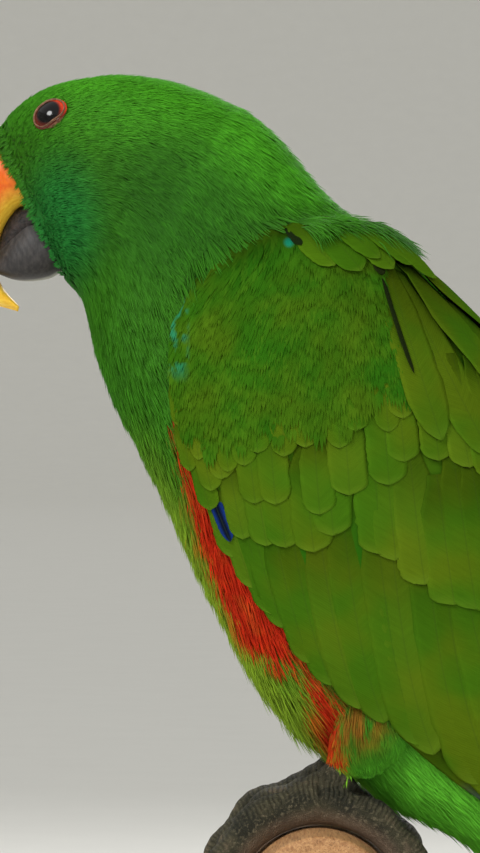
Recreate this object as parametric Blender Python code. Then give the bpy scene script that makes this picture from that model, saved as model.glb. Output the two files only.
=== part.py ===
"""A male eclectus parrot, life size, perched and looking left, on a plain display stand.

Sizes are in millimetres and turned into metres by MM. X runs from the bill to the tail, Y across the bird
(its left side is at -Y) and Z up, and the part's origin is the middle of the stand's underside. Places on the
bird are measured from a point beside the perch, whose own place in the part is TABLE_ORIGIN.
"""

import math

import bmesh
import bpy
import numpy as np
from mathutils import Matrix, Vector

MM = 0.001
GAP = 0.35  # air between touching pieces
SEAT_GAP = 1.25 * GAP  # air round a piece that its neighbour is cut away for
SKIN_GAP = GAP + 0.1  # air between the body and what lies on it

TABLE_ORIGIN = (-26.0, 0.0, 94.0)  # as high as lets the hanging tail clear the floor

# Stand
PERCH_X, PERCH_Z = -3.0, -1.5
PERCH_RADIUS = 21.0
PERCH_LENGTH = 104.0
PERCH_FLAT = 1.6  # depth of the flat that sits on the rod
PERCH_BEVEL = 1.2
ROD_RADIUS = 5.0
COLLAR_RADIUS = 13.0
COLLAR_HEIGHT = 5.0
COLLAR_BEVEL = 1.6
BASE_LENGTH, BASE_WIDTH, BASE_THICKNESS = 168.0, 124.0, 12.0
BASE_CORNER = 22.0
BASE_BEVEL = 2.0

# Body cross-sections from the bill's root to the tail's coverts: back x, back z, belly x, belly z, half
# width, and the power on sine and cosine for the back half and the belly half, where 1 is an ellipse and
# less is squarer. The head is squarer than the body, so that the eyes look sideways from under the crown.
BODY_SECTIONS = (
    (-84.5, 190.0, -67.0, 155.5, 11.0, 0.80, 0.86),
    (-79.0, 197.0, -66.2, 154.3, 16.0, 0.76, 0.84),
    (-71.2, 202.3, -65.2, 153.2, 19.4, 0.74, 0.84),
    (-62.0, 204.8, -64.0, 152.0, 21.4, 0.74, 0.86),
    (-52.0, 205.7, -62.6, 150.4, 22.6, 0.76, 0.88),
    (-41.0, 204.4, -61.4, 147.8, 23.4, 0.79, 0.90),
    (-30.0, 201.0, -60.4, 143.4, 24.4, 0.83, 0.92),
    (-20.0, 196.0, -59.0, 137.4, 26.0, 0.87, 0.93),
    (-11.2, 188.0, -56.6, 130.2, 28.4, 0.90, 0.93),
    (-3.4, 178.6, -53.0, 121.4, 31.4, 0.92, 0.93),
    (5.0, 170.2, -47.6, 111.6, 34.2, 0.93, 0.93),
    (14.6, 162.6, -41.2, 99.8, 36.2, 0.93, 0.93),
    (24.2, 151.2, -33.6, 82.4, 37.2, 0.93, 0.93),
    (34.8, 139.4, -25.8, 67.0, 37.2, 0.93, 0.93),
    (45.2, 122.2, -16.6, 51.2, 35.8, 0.93, 0.93),
    (55.6, 100.8, -2.0, 37.6, 32.8, 0.93, 0.93),
    (63.4, 76.8, 16.4, 22.6, 28.6, 0.93, 0.93),
    (69.6, 52.2, 32.4, 14.8, 24.0, 0.93, 0.93),
    (76.0, 29.8, 44.4, 4.6, 19.6, 0.93, 0.93),
    (85.6, 13.0, 54.4, -9.4, 16.6, 0.93, 0.93),
    (92.4, -1.2, 65.8, -20.6, 15.0, 0.93, 0.93),
    (97.2, -13.6, 79.4, -27.2, 14.6, 0.93, 0.93),
    (105.0, -30.4, 94.0, -38.6, 13.0, 0.93, 0.93),
    (112.4, -45.0, 106.8, -49.2, 9.0, 0.93, 0.93),
    (116.2, -52.2, 113.8, -53.8, 4.0, 0.93, 0.93),
)
BODY_RINGS = 58
BODY_SIDES = 20
HEAD_CUT = 6.4  # section numbers where the body is parted
NECK_CUT = 9.6
RUMP_CUT = 16.6
TAIL_CUT = 19.6

# Head
EYE_X, EYE_Z = -69.6, 195.2
EYE_RADIUS = 6.6
EYE_SUNK = 5.3  # eyeball's centre under the skin
LID_LONG, LID_SHORT = 4.05, 2.75  # half the opening between the lids, each way
LID_THICK = 0.65
LID_ROUND = 0.2  # height of the rounded step at the lids' free edge
LID_STEPS = 16
LID_SLANT = math.radians(33)
LID_ROOT = math.radians(58)  # from the eye's axis, under the skin
NOSTRIL_RADIUS = 1.2
NOSTRIL_AT, NOSTRIL_TURN = 0.32, 0.40  # section number and turn

# Bill: ridge x, ridge z, cutting edge x, cutting edge z, half width
UPPER_BILL = (
    (-77.0, 189.0, -71.6, 173.6, 9.2),
    (-83.6, 190.6, -77.2, 172.4, 9.6),
    (-90.6, 187.8, -79.2, 170.6, 9.0),
    (-96.0, 181.2, -81.2, 167.6, 8.1),
    (-98.2, 172.0, -82.6, 163.8, 7.1),
    (-97.0, 162.6, -83.4, 159.8, 6.0),
    (-92.8, 154.8, -83.2, 156.0, 4.8),
    (-86.4, 149.6, -81.4, 152.2, 3.2),
    (-77.9, 147.0, -77.7, 148.0, 0.8),
)
LOWER_BILL = (
    (-71.6, 171.6, -64.6, 158.6, 7.8),
    (-76.6, 171.4, -68.6, 155.6, 8.6),
    (-79.2, 168.6, -71.4, 154.6, 8.4),
    (-81.6, 165.0, -75.2, 154.2, 7.6),
    (-83.6, 161.0, -79.0, 154.6, 6.2),
    (-84.6, 158.0, -82.4, 155.8, 4.2),
)
BILL_SIDES = 14
BILL_TAPER = 0.18  # share by which the ridge is narrower and the cutting edge wider than the middle

# The folded wings lie on the body as far as the back, then on sections of their own, flatter ones.
WING_SECTIONS_FROM = 14
NEARLY = 0.992  # how near the ridge of the back or the belly a side view's point may lie
WING_SECTIONS = (
    (46.8, 123.8, -16.8, 51.0, 36.2, 0.92, 0.90),
    (60.8, 105.0, -2.0, 37.0, 34.6, 0.92, 0.84),
    (73.4, 82.8, 16.0, 21.0, 31.4, 0.92, 0.76),
    (84.0, 59.4, 32.6, 12.0, 27.6, 0.92, 0.68),
    (92.6, 36.2, 46.2, 0.0, 24.0, 0.92, 0.60),
    (99.6, 14.2, 60.2, -13.0, 21.2, 0.92, 0.54),
    (105.4, -6.0, 74.4, -26.4, 18.8, 0.92, 0.50),
    (109.8, -22.8, 89.8, -38.4, 17.0, 0.92, 0.48),
    (113.2, -36.2, 103.2, -44.6, 15.4, 0.92, 0.48),
    (116.0, -47.0, 113.6, -50.0, 14.2, 0.92, 0.48),
)
WING_CLEARANCE = 1.0  # between the body and a wing

# Wing outline in side view, from the wrist to the tip: upper edge x, z and lower edge x, z
WING_OUTLINE = (
    (-28.0, 160.0, -36.0, 149.6),
    (-16.0, 165.0, -37.2, 138.0),
    (-3.0, 166.6, -36.2, 123.0),
    (9.6, 163.2, -32.4, 107.6),
    (21.4, 151.4, -26.0, 93.8),
    (33.6, 138.6, -17.6, 79.0),
    (45.6, 124.0, -8.0, 65.4),
    (57.8, 108.4, 4.8, 50.6),
    (70.0, 88.6, 20.0, 39.6),
    (80.6, 66.8, 35.6, 28.4),
    (89.8, 43.4, 51.6, 12.8),
    (97.4, 20.6, 68.0, -2.6),
    (103.6, -0.6, 84.4, -16.4),
    (108.6, -19.6, 99.6, -28.4),
    (112.0, -33.6, 110.0, -37.4),
)
WING_MEET_FROM, WING_MEET_OVER = 3.0, 3.0  # rows over which the upper edges come together on the back
WING_MEET_TURN = 0.11  # how near the middle of the back they come
WING_CORE_END = 8  # row of the outline where the covert-clad core ends
WING_CORE_COLUMNS = 9
WING_CORE_ROUND = 0.3  # share of its length by which its end is shorter at the edges
WING_CORE_EDGE, WING_CORE_SWELL = 1.6, 6.6  # its thickness at the edge, and how much it swells inside that
WING_CORE_FRONT, WING_CORE_BACK = 0.30, 0.55  # shares of its length over which it thickens and thins

# Tiers of a folded wing's feathers, each from the lower edge up: number of feathers, place of the lowest
# one's free edge and of the highest one's, as a share from the upper edge, rows of the outline at the lowest
# and highest feather's root and tip, and the height of the tier above the body
WING_TIERS = {
    "primaries": (7, 1.00, 0.34, 5.6, 5.2, 13.7, 12.0, 1.1),
    "secondaries": (7, 0.98, 0.02, 4.6, 4.4, 9.6, 11.0, 3.6),
    "coverts": (6, 0.99, 0.04, 2.6, 3.0, 7.2, 8.2, 6.1),
}
VANE_THICKNESS = 0.55
VANE_STEP = 0.95  # rise from one vane to the one that lies over it: its thickness and the air between
VANE_OVERLAP = 0.5  # share of the spacing by which a vane runs on under the next
TIER_BULGE = 0.5  # rows by which the middle of a tier reaches further than its ends
TIP_ROWS = ((0.62, 0.94), (0.24, 0.68), (0.0, 0.22))  # rows before the tip, share of the width

# Tail
TAIL_ROOT_X, TAIL_ROOT_Z = 73.0, 3.0
TAIL_DROP = math.radians(53)
TAIL_LENGTH = 105.0
TAIL_PAIRS = 6
TAIL_STATION = 20.0  # length between the rows of a tail vane
TAIL_VANE_START = 24.0
TAIL_PITCH_START, TAIL_PITCH_END = 1.7, 4.3  # spacing of the vanes at the root and the tip
TAIL_ARCH = 0.006  # droop of the sides for each square millimetre from the middle
TAIL_STAGGER = 2.6  # each vane is this much shorter than the one inside it
TAIL_STAGGER_GROWTH = 0.2  # and this much more for the square of its number

# Legs and feet
FOOT_Y = 17.0
TOE_RADIUS = 5.3
TOE_TAPER = 0.24  # share of its radius that a toe loses along its length
TOE_END_TAPER = 0.28  # and at its very end
TOE_PADS, TOE_PAD_SWELL = 3, 0.07
HUB_RADIUS = 6.6
SHANK = (  # place behind the perch's axis, height over the perch and radius
    (1.5, 6.6, 5.6),
    (3.6, 9.8, 5.0),
)
ANKLE, ANKLE_RADIUS = (3.4, -17.4, 32.6), 4.6
CLAW_LENGTH = 13.0
CLAW_CURL = 0.30  # share of its length by which a claw's tip bends in to the perch
CLAW_SHARE = 0.62  # its radius at the root as a share of the toe's
CLAW_TIP = 0.28
THIGH = (  # x, y, z and radius from the belly to the ankle
    (24.0, -18.5, 60.0, 13.0),
    (17.0, -19.5, 52.0, 13.0),
    (11.0, -19.0, 44.0, 11.4),
    (6.8, -18.2, 38.0, 9.2),
    (4.4, -17.6, 34.0, 7.2),
)
# Toes of the left foot: name, forwards (-1) or back (+1), angle round the perch where it starts and ends
# in degrees from the top, sideways place at its root and tip, and its size
TOES = (
    ("outer_front", -1, 2, 98, -2.5, -8.0, 1.00),
    ("inner_front", -1, 2, 78, 2.5, 7.0, 0.92),
    ("outer_back", 1, 2, 88, -2.5, -8.5, 0.95),
    ("inner_back", 1, 2, 62, 2.5, 6.0, 0.88),
)


def clear_scene():
    for thing in list(bpy.data.objects):
        bpy.data.objects.remove(thing)


def material(name, colour, roughness, metallic=0.0):
    made = bpy.data.materials.new(name)
    made.use_nodes = True
    shader = made.node_tree.nodes["Principled BSDF"]
    shader.inputs["Base Color"].default_value = (*colour, 1.0)
    shader.inputs["Roughness"].default_value = roughness
    shader.inputs["Metallic"].default_value = metallic
    return made


def collection(name):
    made = bpy.data.collections.new(name)
    bpy.context.scene.collection.children.link(made)
    return made


def node(name, mesh, where, finish):
    made = bpy.data.objects.new(name, mesh)
    where.objects.link(made)
    made.data.materials.clear()
    made.data.materials.append(finish)
    return made


def placed(points):
    """Points of the tables in the part's own frame, in metres."""
    return (np.asarray(points, float) + TABLE_ORIGIN) * MM


def mesh_from(name, points, faces):
    made = bpy.data.meshes.new(name)
    made.from_pydata(placed(points).tolist(), [], [list(map(int, f)) for f in faces])
    made.validate()
    shell = bmesh.new()
    shell.from_mesh(made)
    bmesh.ops.recalc_face_normals(shell, faces=shell.faces)
    shell.to_mesh(made)
    shell.free()
    return made


def along(table, at):
    """The table's rows, read smoothly at the section numbers in at."""
    table = np.asarray(table, float)
    at = np.asarray(at, float)
    last = len(table) - 1
    low = np.clip(np.floor(at).astype(int), 0, last - 1)
    t = (at - low)[..., None]
    start, end = table[low], table[low + 1]
    before = np.where((low > 0)[..., None], table[np.maximum(low - 1, 0)], 2 * start - end)
    after = np.where(
        (low + 2 <= last)[..., None], table[np.minimum(low + 2, last)], 2 * end - start
    )
    return 0.5 * (
        2 * start
        + (end - before) * t
        + (2 * before - 5 * start + 4 * end - after) * t**2
        + (3 * start - before - 3 * end + after) * t**3
    )


def section_points(table, at, turn):
    """Points on the sections at the numbers in at; turn is 0 on the back and pi on the belly."""
    row = along(table, at)
    cosine, sine = np.cos(turn), np.sin(turn)
    power = np.where(cosine > 0, row[..., 5], row[..., 6])
    up = np.sign(cosine) * np.abs(cosine) ** power
    out = np.sign(sine) * np.abs(sine) ** power
    x = (row[..., 0] + row[..., 2]) / 2 + up * (row[..., 0] - row[..., 2]) / 2
    z = (row[..., 1] + row[..., 3]) / 2 + up * (row[..., 1] - row[..., 3]) / 2
    y = -out * row[..., 4]
    return np.stack([x, y, z], axis=-1)


def surface(table, at, turn, lift=0.0):
    """section_points moved out along the surface's normal by lift."""
    at, turn, lift = np.broadcast_arrays(
        np.asarray(at, float), np.asarray(turn, float), np.asarray(lift, float)
    )
    step = 0.02
    along_it = section_points(table, at + step, turn) - section_points(table, at - step, turn)
    round_it = section_points(table, at, turn + step) - section_points(table, at, turn - step)
    normal = np.cross(round_it, along_it)
    normal /= np.maximum(np.linalg.norm(normal, axis=-1, keepdims=True), 1e-9)
    return section_points(table, at, turn) + normal * lift[..., None]


def wing_table():
    return np.array(BODY_SECTIONS[:WING_SECTIONS_FROM] + WING_SECTIONS)


def side_view_to_surface(table, x, z, first=7.0):
    """Section number and turn of the points that a side view shows at x, z."""
    last = len(table) - 1.0
    numbers = np.linspace(first, last + 0.8, 900)
    rows = along(table, numbers)
    middle = (rows[:, 0:2] + rows[:, 2:4]) / 2
    half = (rows[:, 0:2] - rows[:, 2:4]) / 2
    flat_x, flat_z = np.ravel(x), np.ravel(z)
    from_x, from_z = flat_x[:, None] - middle[:, 0], flat_z[:, None] - middle[:, 1]
    ahead = from_x * half[:, 1] - from_z * half[:, 0]
    crossing = np.argmax(ahead < 0, axis=1)
    crossing = np.clip(crossing, 1, len(numbers) - 1)
    each = np.arange(len(flat_x))
    before, after = ahead[each, crossing - 1], ahead[each, crossing]
    share = np.clip(before / (before - after), 0, 1)
    at = numbers[crossing - 1] + share * (numbers[crossing] - numbers[crossing - 1])
    row = along(table, at)
    half = (row[:, 0:2] - row[:, 2:4]) / 2
    middle = (row[:, 0:2] + row[:, 2:4]) / 2
    from_middle = np.stack([flat_x, flat_z], axis=-1) - middle
    up = (from_middle * half).sum(axis=1) / (half**2).sum(axis=1)
    up = np.clip(up, -NEARLY, NEARLY)
    cosine = np.sign(up) * np.abs(up) ** (1 / np.where(up > 0, row[:, 5], row[:, 6]))
    return at.reshape(np.shape(x)), np.arccos(cosine).reshape(np.shape(x))


def grid_faces(rows, sides, closed=True):
    """Quads of a grid of rows by sides points; closed joins the last side to the first."""
    faces = []
    for r in range(rows - 1):
        for c in range(sides if closed else sides - 1):
            d = (c + 1) % sides
            faces.append((r * sides + c, r * sides + d, (r + 1) * sides + d, (r + 1) * sides + c))
    return faces


def loft(name, rings):
    """A closed solid through rings of the same number of points, with flat ends."""
    rings = np.asarray(rings, float)
    rows, sides = rings.shape[:2]
    faces = grid_faces(rows, sides)
    faces.append(tuple(reversed(range(sides))))
    faces.append(tuple((rows - 1) * sides + c for c in range(sides)))
    return mesh_from(name, rings.reshape(-1, 3), faces)


def body_loft(name, lift=0.0):
    last = len(BODY_SECTIONS) - 1
    at = np.linspace(0, last, BODY_RINGS)[:, None]
    turn = (np.arange(BODY_SIDES) + 0.5)[None, :] * (2 * math.pi / BODY_SIDES)
    return loft(name, surface(BODY_SECTIONS, at, turn, lift))


def section_plane(number):
    """Middle point of a body section, in metres, and its normal towards the tail."""
    row = along(BODY_SECTIONS, np.array(number))
    middle = Vector(placed(((row[0] + row[2]) / 2, 0, (row[1] + row[3]) / 2)))
    across = Vector((row[0] - row[2], 0, row[1] - row[3])).normalized()
    return middle, Vector((0, 1, 0)).cross(across)


def keep_between(mesh, first, last):
    """Keeps what lies between two body sections, with half the gap taken off each end."""
    shell = bmesh.new()
    shell.from_mesh(mesh)
    for number, side in ((first, 1), (last, -1)):
        if number is None:
            continue
        middle, tailward = section_plane(number)
        inward = tailward * side
        bmesh.ops.bisect_plane(
            shell,
            geom=shell.verts[:] + shell.edges[:] + shell.faces[:],
            plane_co=middle + inward * (GAP / 2 * MM),
            plane_no=-inward,
            clear_outer=True,
            dist=1e-7,
        )
        rim = [e for e in shell.edges if e.is_boundary]
        bmesh.ops.contextual_create(shell, geom=rim)
    bmesh.ops.recalc_face_normals(shell, faces=shell.faces)
    shell.to_mesh(mesh)
    shell.free()
    return mesh


def boolean(target, cutters, operation, scratch):
    """Joins or cuts closed meshes, applies it, and removes the cutters.

    Every mesh here is a closed surface, so the solver made for those is used: what it makes is closed too.
    """
    pool = bpy.data.collections.new("pool")
    bpy.context.scene.collection.children.link(pool)
    for mesh in cutters:
        pool.objects.link(bpy.data.objects.new("piece", mesh))
    holder = bpy.data.objects.new("holder", target)
    scratch.objects.link(holder)
    modifier = holder.modifiers.new("join", "BOOLEAN")
    modifier.operation = operation
    modifier.operand_type = "COLLECTION"
    modifier.collection = pool
    modifier.solver = "MANIFOLD"
    bpy.context.view_layer.update()
    graph = bpy.context.evaluated_depsgraph_get()
    made = bpy.data.meshes.new_from_object(holder.evaluated_get(graph))
    for piece in list(pool.objects):
        bpy.data.objects.remove(piece)
    bpy.data.collections.remove(pool)
    bpy.data.objects.remove(holder)
    return largest_surface(made)


def largest_surface(mesh):
    """Keeps only the mesh's largest closed surface."""
    shell = bmesh.new()
    shell.from_mesh(mesh)
    bmesh.ops.triangulate(shell, faces=shell.faces)
    left, islands = set(shell.faces), []
    while left:
        seed = left.pop()
        island, edge = {seed}, [seed]
        while edge:
            face = edge.pop()
            for e in face.edges:
                for other in e.link_faces:
                    if other in left:
                        left.remove(other)
                        island.add(other)
                        edge.append(other)
        islands.append(island)
    best = max(islands, key=lambda island: sum(f.calc_area() for f in island))
    drop = [f for island in islands if island is not best for f in island]
    bmesh.ops.delete(shell, geom=drop, context="FACES")
    loose = [v for v in shell.verts if not v.link_faces]
    bmesh.ops.delete(shell, geom=loose, context="VERTS")
    shell.to_mesh(mesh)
    shell.free()
    return mesh


def grown(mesh, by):
    """A copy of the mesh, moved out along its normals by so many millimetres."""
    made = mesh.copy()
    shell = bmesh.new()
    shell.from_mesh(made)
    shell.normal_update()
    for vertex, out in [(v, v.normal.copy()) for v in shell.verts]:
        vertex.co += out * by * MM
    shell.to_mesh(made)
    shell.free()
    return made


def ball(name, centre, radius, segments=12, rings=8):
    shell = bmesh.new()
    bmesh.ops.create_uvsphere(shell, u_segments=segments, v_segments=rings, radius=radius * MM)
    bmesh.ops.translate(shell, verts=shell.verts, vec=Vector(placed(centre)))
    made = bpy.data.meshes.new(name)
    shell.to_mesh(made)
    shell.free()
    return made


def eye_frame(side):
    """Skin point, outward normal, and the lid's long and short directions; side is -1 on the left."""
    sections = np.array(BODY_SECTIONS)
    at, turn = side_view_to_surface(sections, np.array([EYE_X]), np.array([EYE_Z]), first=0.2)
    skin = surface(BODY_SECTIONS, at, turn)[0]
    normal = surface(BODY_SECTIONS, at, turn, 1.0)[0] - skin
    long_way = np.array([math.cos(LID_SLANT), 0.0, math.sin(LID_SLANT)])
    long_way -= normal * long_way.dot(normal)
    long_way /= np.linalg.norm(long_way)
    short_way = np.cross(normal, long_way)
    flip = np.array([1.0, -side, 1.0])
    return skin * flip, normal * flip, long_way * flip, short_way * flip


def lid_ring(side):
    """The bare lids: a band over the eyeball from the eye's opening to under the skin."""
    skin, normal, long_way, short_way = eye_frame(side)
    centre = skin - normal * EYE_SUNK
    inner, outer = EYE_RADIUS, EYE_RADIUS + GAP + LID_THICK
    rings = []
    for t in np.arange(LID_STEPS) * 2 * math.pi / LID_STEPS:
        outward = math.cos(t) * long_way + math.sin(t) * short_way
        opening = math.asin(math.hypot(math.cos(t) * LID_LONG, math.sin(t) * LID_SHORT) / EYE_RADIUS)
        section = (
            (inner, opening),
            (outer - LID_ROUND, opening),
            (outer, opening + LID_ROUND / 2),
            (outer, LID_ROOT),
            (inner, LID_ROOT),
        )
        rings.append([
            centre + radius * (math.cos(angle) * normal + math.sin(angle) * outward)
            for radius, angle in section
        ])
    through = len(rings[0])
    faces = grid_faces(LID_STEPS, through)
    last = (LID_STEPS - 1) * through
    for b in range(through):
        c = (b + 1) % through
        faces.append((last + b, last + c, c, b))
    return mesh_from("lid_ring", np.array(rings).reshape(-1, 3), faces)


def head_mesh(scratch, bills):
    mesh = keep_between(body_loft("head"), None, HEAD_CUT)
    lids = [lid_ring(-1), lid_ring(1)]
    mesh = boolean(mesh, lids, "UNION", scratch)
    sockets = []
    for side in (-1, 1):
        skin, normal, _, _ = eye_frame(side)
        sockets.append(ball("socket", skin - normal * EYE_SUNK, EYE_RADIUS + GAP, 14, 10))
        pit = surface(BODY_SECTIONS, NOSTRIL_AT, NOSTRIL_TURN) * (1, -side, 1)
        sockets.append(ball("nostril", pit, NOSTRIL_RADIUS, 8, 6))
    sockets += [grown(bill, SEAT_GAP) for bill in bills]
    return boolean(mesh, sockets, "DIFFERENCE", scratch)


def bill_mesh(name, table):
    rows = along(table, np.linspace(0, len(table) - 1, 2 * len(table) - 1))
    turn = np.arange(BILL_SIDES) * (2 * math.pi / BILL_SIDES)
    rings = []
    for ridge_x, ridge_z, edge_x, edge_z, half in rows:
        up = np.cos(turn)
        x = (ridge_x + edge_x) / 2 + up * (ridge_x - edge_x) / 2
        z = (ridge_z + edge_z) / 2 + up * (ridge_z - edge_z) / 2
        y = np.sin(turn) * half * (1 - BILL_TAPER * up)
        rings.append(np.stack([x, y, z], axis=-1))
    return loft(name, rings)


def wing_edges():
    """Section number and turn of the folded wing's upper and lower edge at each row of its outline."""
    outline = np.array(WING_OUTLINE)
    upper = side_view_to_surface(wing_table(), outline[:, 0], outline[:, 1])
    lower = side_view_to_surface(wing_table(), outline[:, 2], outline[:, 3])
    meeting = np.clip((np.arange(len(outline)) - WING_MEET_FROM) / WING_MEET_OVER, 0, 1)
    upper_turn = upper[1] * (1 - meeting) + np.minimum(upper[1], WING_MEET_TURN) * meeting
    return np.stack([upper[0], upper_turn, lower[0], lower[1]], axis=-1)


def wing_point(row, share, lift):
    """A point of the folded wing: row of its outline, share from its upper to its lower edge, and height.

    Between whole rows it lies on a straight line, so that vanes that share rows never cross.
    """
    row, share, lift = np.broadcast_arrays(
        np.asarray(row, float), np.asarray(share, float), np.asarray(lift, float)
    )
    edges = wing_edges()
    low = np.clip(np.floor(row).astype(int), 0, len(edges) - 2)
    found = []
    for station in (low, low + 1):
        at = edges[station, 0] + share * (edges[station, 2] - edges[station, 0])
        turn = edges[station, 1] + share * (edges[station, 3] - edges[station, 1])
        found.append(surface(wing_table(), at, turn, lift))
    blend = (row - low)[..., None]
    return found[0] * (1 - blend) + found[1] * blend


def vane_rows(root, tip, every=1.0):
    """Rows along a vane and the share of its width at each: whole rows, then the rounded tip."""
    rows = [(root, 1.0)]
    station = math.floor(root / every) * every + every
    while station < tip - TIP_ROWS[0][0] * every - 0.1:
        rows.append((station, 1.0))
        station += every
    return np.array(rows + [(tip - back * every, width) for back, width in TIP_ROWS])


def vane_places(number, root, tip, every=1.0):
    """Row, place across in spacings, and lift of each point of a vane whose free edge is at number."""
    rows = vane_rows(root, tip, every)
    middle, half = (1 + VANE_OVERLAP) / 2, (1 + VANE_OVERLAP) / 2
    across = number + middle + half * rows[:, 1:2] * np.array((-1.0, 0.0, 1.0))
    row = np.repeat(rows[:, 0:1], across.shape[1], axis=1)
    return row, across, (number - across) * VANE_STEP


def wing_vane(tier, number):
    count, first, last, root_low, root_high, tip_low, tip_high, height = tier
    share = number / (count - 1)
    root = root_low + share * (root_high - root_low)
    tip = tip_low + share * (tip_high - tip_low) + TIER_BULGE * math.sin(math.pi * share)
    row, across, lift = vane_places(number, root, tip)
    place = first + across / (count + VANE_OVERLAP) * (last - first)
    lift = lift + height + (1 + VANE_OVERLAP) * VANE_STEP
    under, over = (wing_point(row, place, lift + up) for up in (0.0, VANE_THICKNESS))
    return shell_between("vane", under, over)


def wing_core():
    """The arm and hand under their small feathers, from the wrist to where the long feathers run free."""
    rows = np.arange(WING_CORE_END + 1.0)
    share = np.linspace(0, 1, WING_CORE_COLUMNS)
    row, place = np.meshgrid(rows, share, indexing="ij")
    along_it = row / WING_CORE_END
    row = row * (1 - WING_CORE_ROUND * along_it * np.abs(2 * place - 1) ** 2.5)
    front = np.clip(along_it / WING_CORE_FRONT, 0, 1) ** 0.6
    back = np.clip((1.06 - along_it) / WING_CORE_BACK, 0, 1) ** 0.8
    arch = np.sin(math.pi * (0.04 + 0.92 * place)) ** 0.42
    thickness = WING_CORE_EDGE + WING_CORE_SWELL * front * back * arch
    inner = wing_point(row, place, WING_CLEARANCE)
    return shell_between("core", inner, wing_point(row, place, WING_CLEARANCE + thickness))


def wing_mesh(scratch):
    """One folded wing: its core, with the tiers of long feathers rooted in it."""
    vanes = [wing_vane(tier, number) for tier in WING_TIERS.values() for number in range(tier[0])]
    wing = boolean(wing_core(), vanes, "UNION", scratch)
    return boolean(wing, [body_loft("cut", SKIN_GAP)], "DIFFERENCE", scratch)


def shell_between(name, inner, outer):
    """A closed sheet between two grids of points, split alike on both faces."""
    rows, columns = inner.shape[:2]
    points = np.concatenate([outer.reshape(-1, 3), inner.reshape(-1, 3)])
    count = rows * columns
    faces = []
    for r in range(rows - 1):
        for c in range(columns - 1):
            a, b = r * columns + c, r * columns + c + 1
            d, e = a + columns, b + columns
            faces += [(a, b, e), (a, e, d)]
            faces += [(count + a, count + e, count + b), (count + a, count + d, count + e)]
    rim = list(range(columns))
    rim += [r * columns + columns - 1 for r in range(1, rows)]
    rim += [(rows - 1) * columns + c for c in range(columns - 2, -1, -1)]
    rim += [r * columns for r in range(rows - 2, 0, -1)]
    for a, b in zip(rim, rim[1:] + rim[:1]):
        faces += [(a, count + a, count + b), (a, count + b, b)]
    return mesh_from(name, points, faces)


def mirrored(name, mesh):
    """The same piece on the bird's right side."""
    made = mesh.copy()
    made.name = name
    shell = bmesh.new()
    shell.from_mesh(made)
    bmesh.ops.scale(shell, vec=(1, -1, 1), verts=shell.verts)
    bmesh.ops.reverse_faces(shell, faces=shell.faces)
    shell.to_mesh(made)
    shell.free()
    return made


def tail_point(length, out, lift):
    """Points in the tail's own directions: along it, to the bird's left, and up from its middle."""
    down = np.array([math.cos(TAIL_DROP), 0.0, -math.sin(TAIL_DROP)])
    up = np.array([math.sin(TAIL_DROP), 0.0, math.cos(TAIL_DROP)])
    root = np.array([TAIL_ROOT_X, 0.0, TAIL_ROOT_Z])
    across = np.array([0.0, -1.0, 0.0])
    return root + length[..., None] * down + out[..., None] * across + lift[..., None] * up


def tail_vane(pair, side):
    """One tail feather: each lies under the next one in, with its outer edge free."""
    shorter = TAIL_STAGGER * pair + TAIL_STAGGER_GROWTH * pair**2
    tip = (TAIL_LENGTH - shorter) / TAIL_STATION
    row, across, lift = vane_places(0.0, TAIL_VANE_START / TAIL_STATION, tip)
    length = row * TAIL_STATION
    pitch = TAIL_PITCH_START + (TAIL_PITCH_END - TAIL_PITCH_START) * length / TAIL_LENGTH
    out = np.maximum((pair + 1 - across) * pitch, GAP / 2)
    lift = lift - TAIL_ARCH * out**2 + 0.5 * VANE_STEP
    under, over = (tail_point(length, side * out, lift + up) for up in (0.0, VANE_THICKNESS))
    return shell_between("vane", under, over)


def tail_mesh(scratch):
    core = keep_between(body_loft("tail"), TAIL_CUT, None)
    vanes = [tail_vane(pair, side) for pair in range(TAIL_PAIRS) for side in (1, -1)]
    return boolean(core, vanes, "UNION", scratch)


def tube(name, path, radii, sides=7):
    """A closed tube through points, as wide as radii."""
    path = np.asarray(path, float)
    ahead = np.gradient(path, axis=0)
    rings = []
    for point, way, radius in zip(path, ahead, radii):
        way = way / np.linalg.norm(way)
        first = np.cross(way, (0, 1, 0))
        first = first / np.linalg.norm(first)
        second = np.cross(way, first)
        turn = (np.arange(sides) + 0.5) * 2 * math.pi / sides
        rings.append([point + radius * (math.cos(t) * first + math.sin(t) * second) for t in turn])
    return loft(name, rings)


def toe_path(toe, steps=8):
    _, way, start, end, root_y, tip_y, size = toe
    share = np.linspace(0, 1, steps)
    angle = np.radians(start + (end - start) * share)
    pads = TOE_PAD_SWELL * np.cos(share * TOE_PADS * 2 * math.pi)
    radius = TOE_RADIUS * size * (1 - TOE_TAPER * share + pads) * (1 - TOE_END_TAPER * share**10)
    reach = PERCH_RADIUS + GAP + radius
    x = PERCH_X + way * reach * np.sin(angle)
    z = PERCH_Z + reach * np.cos(angle)
    y = -FOOT_Y + root_y + (tip_y - root_y) * share
    return np.stack([x, y, z], axis=-1), radius


def foot_mesh(scratch):
    top = PERCH_Z + PERCH_RADIUS + GAP
    hub = ball("hub", (PERCH_X + 1.0, -FOOT_Y, top + HUB_RADIUS), HUB_RADIUS, 12, 8)
    path = [(PERCH_X + back, -FOOT_Y, top + high) for back, high, _ in SHANK] + [ANKLE]
    shank = tube("shank", path, [radius for _, _, radius in SHANK] + [ANKLE_RADIUS])
    toes = [tube(toe[0], *toe_path(toe)) for toe in TOES]
    return boolean(hub, [shank] + toes, "UNION", scratch)


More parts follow.
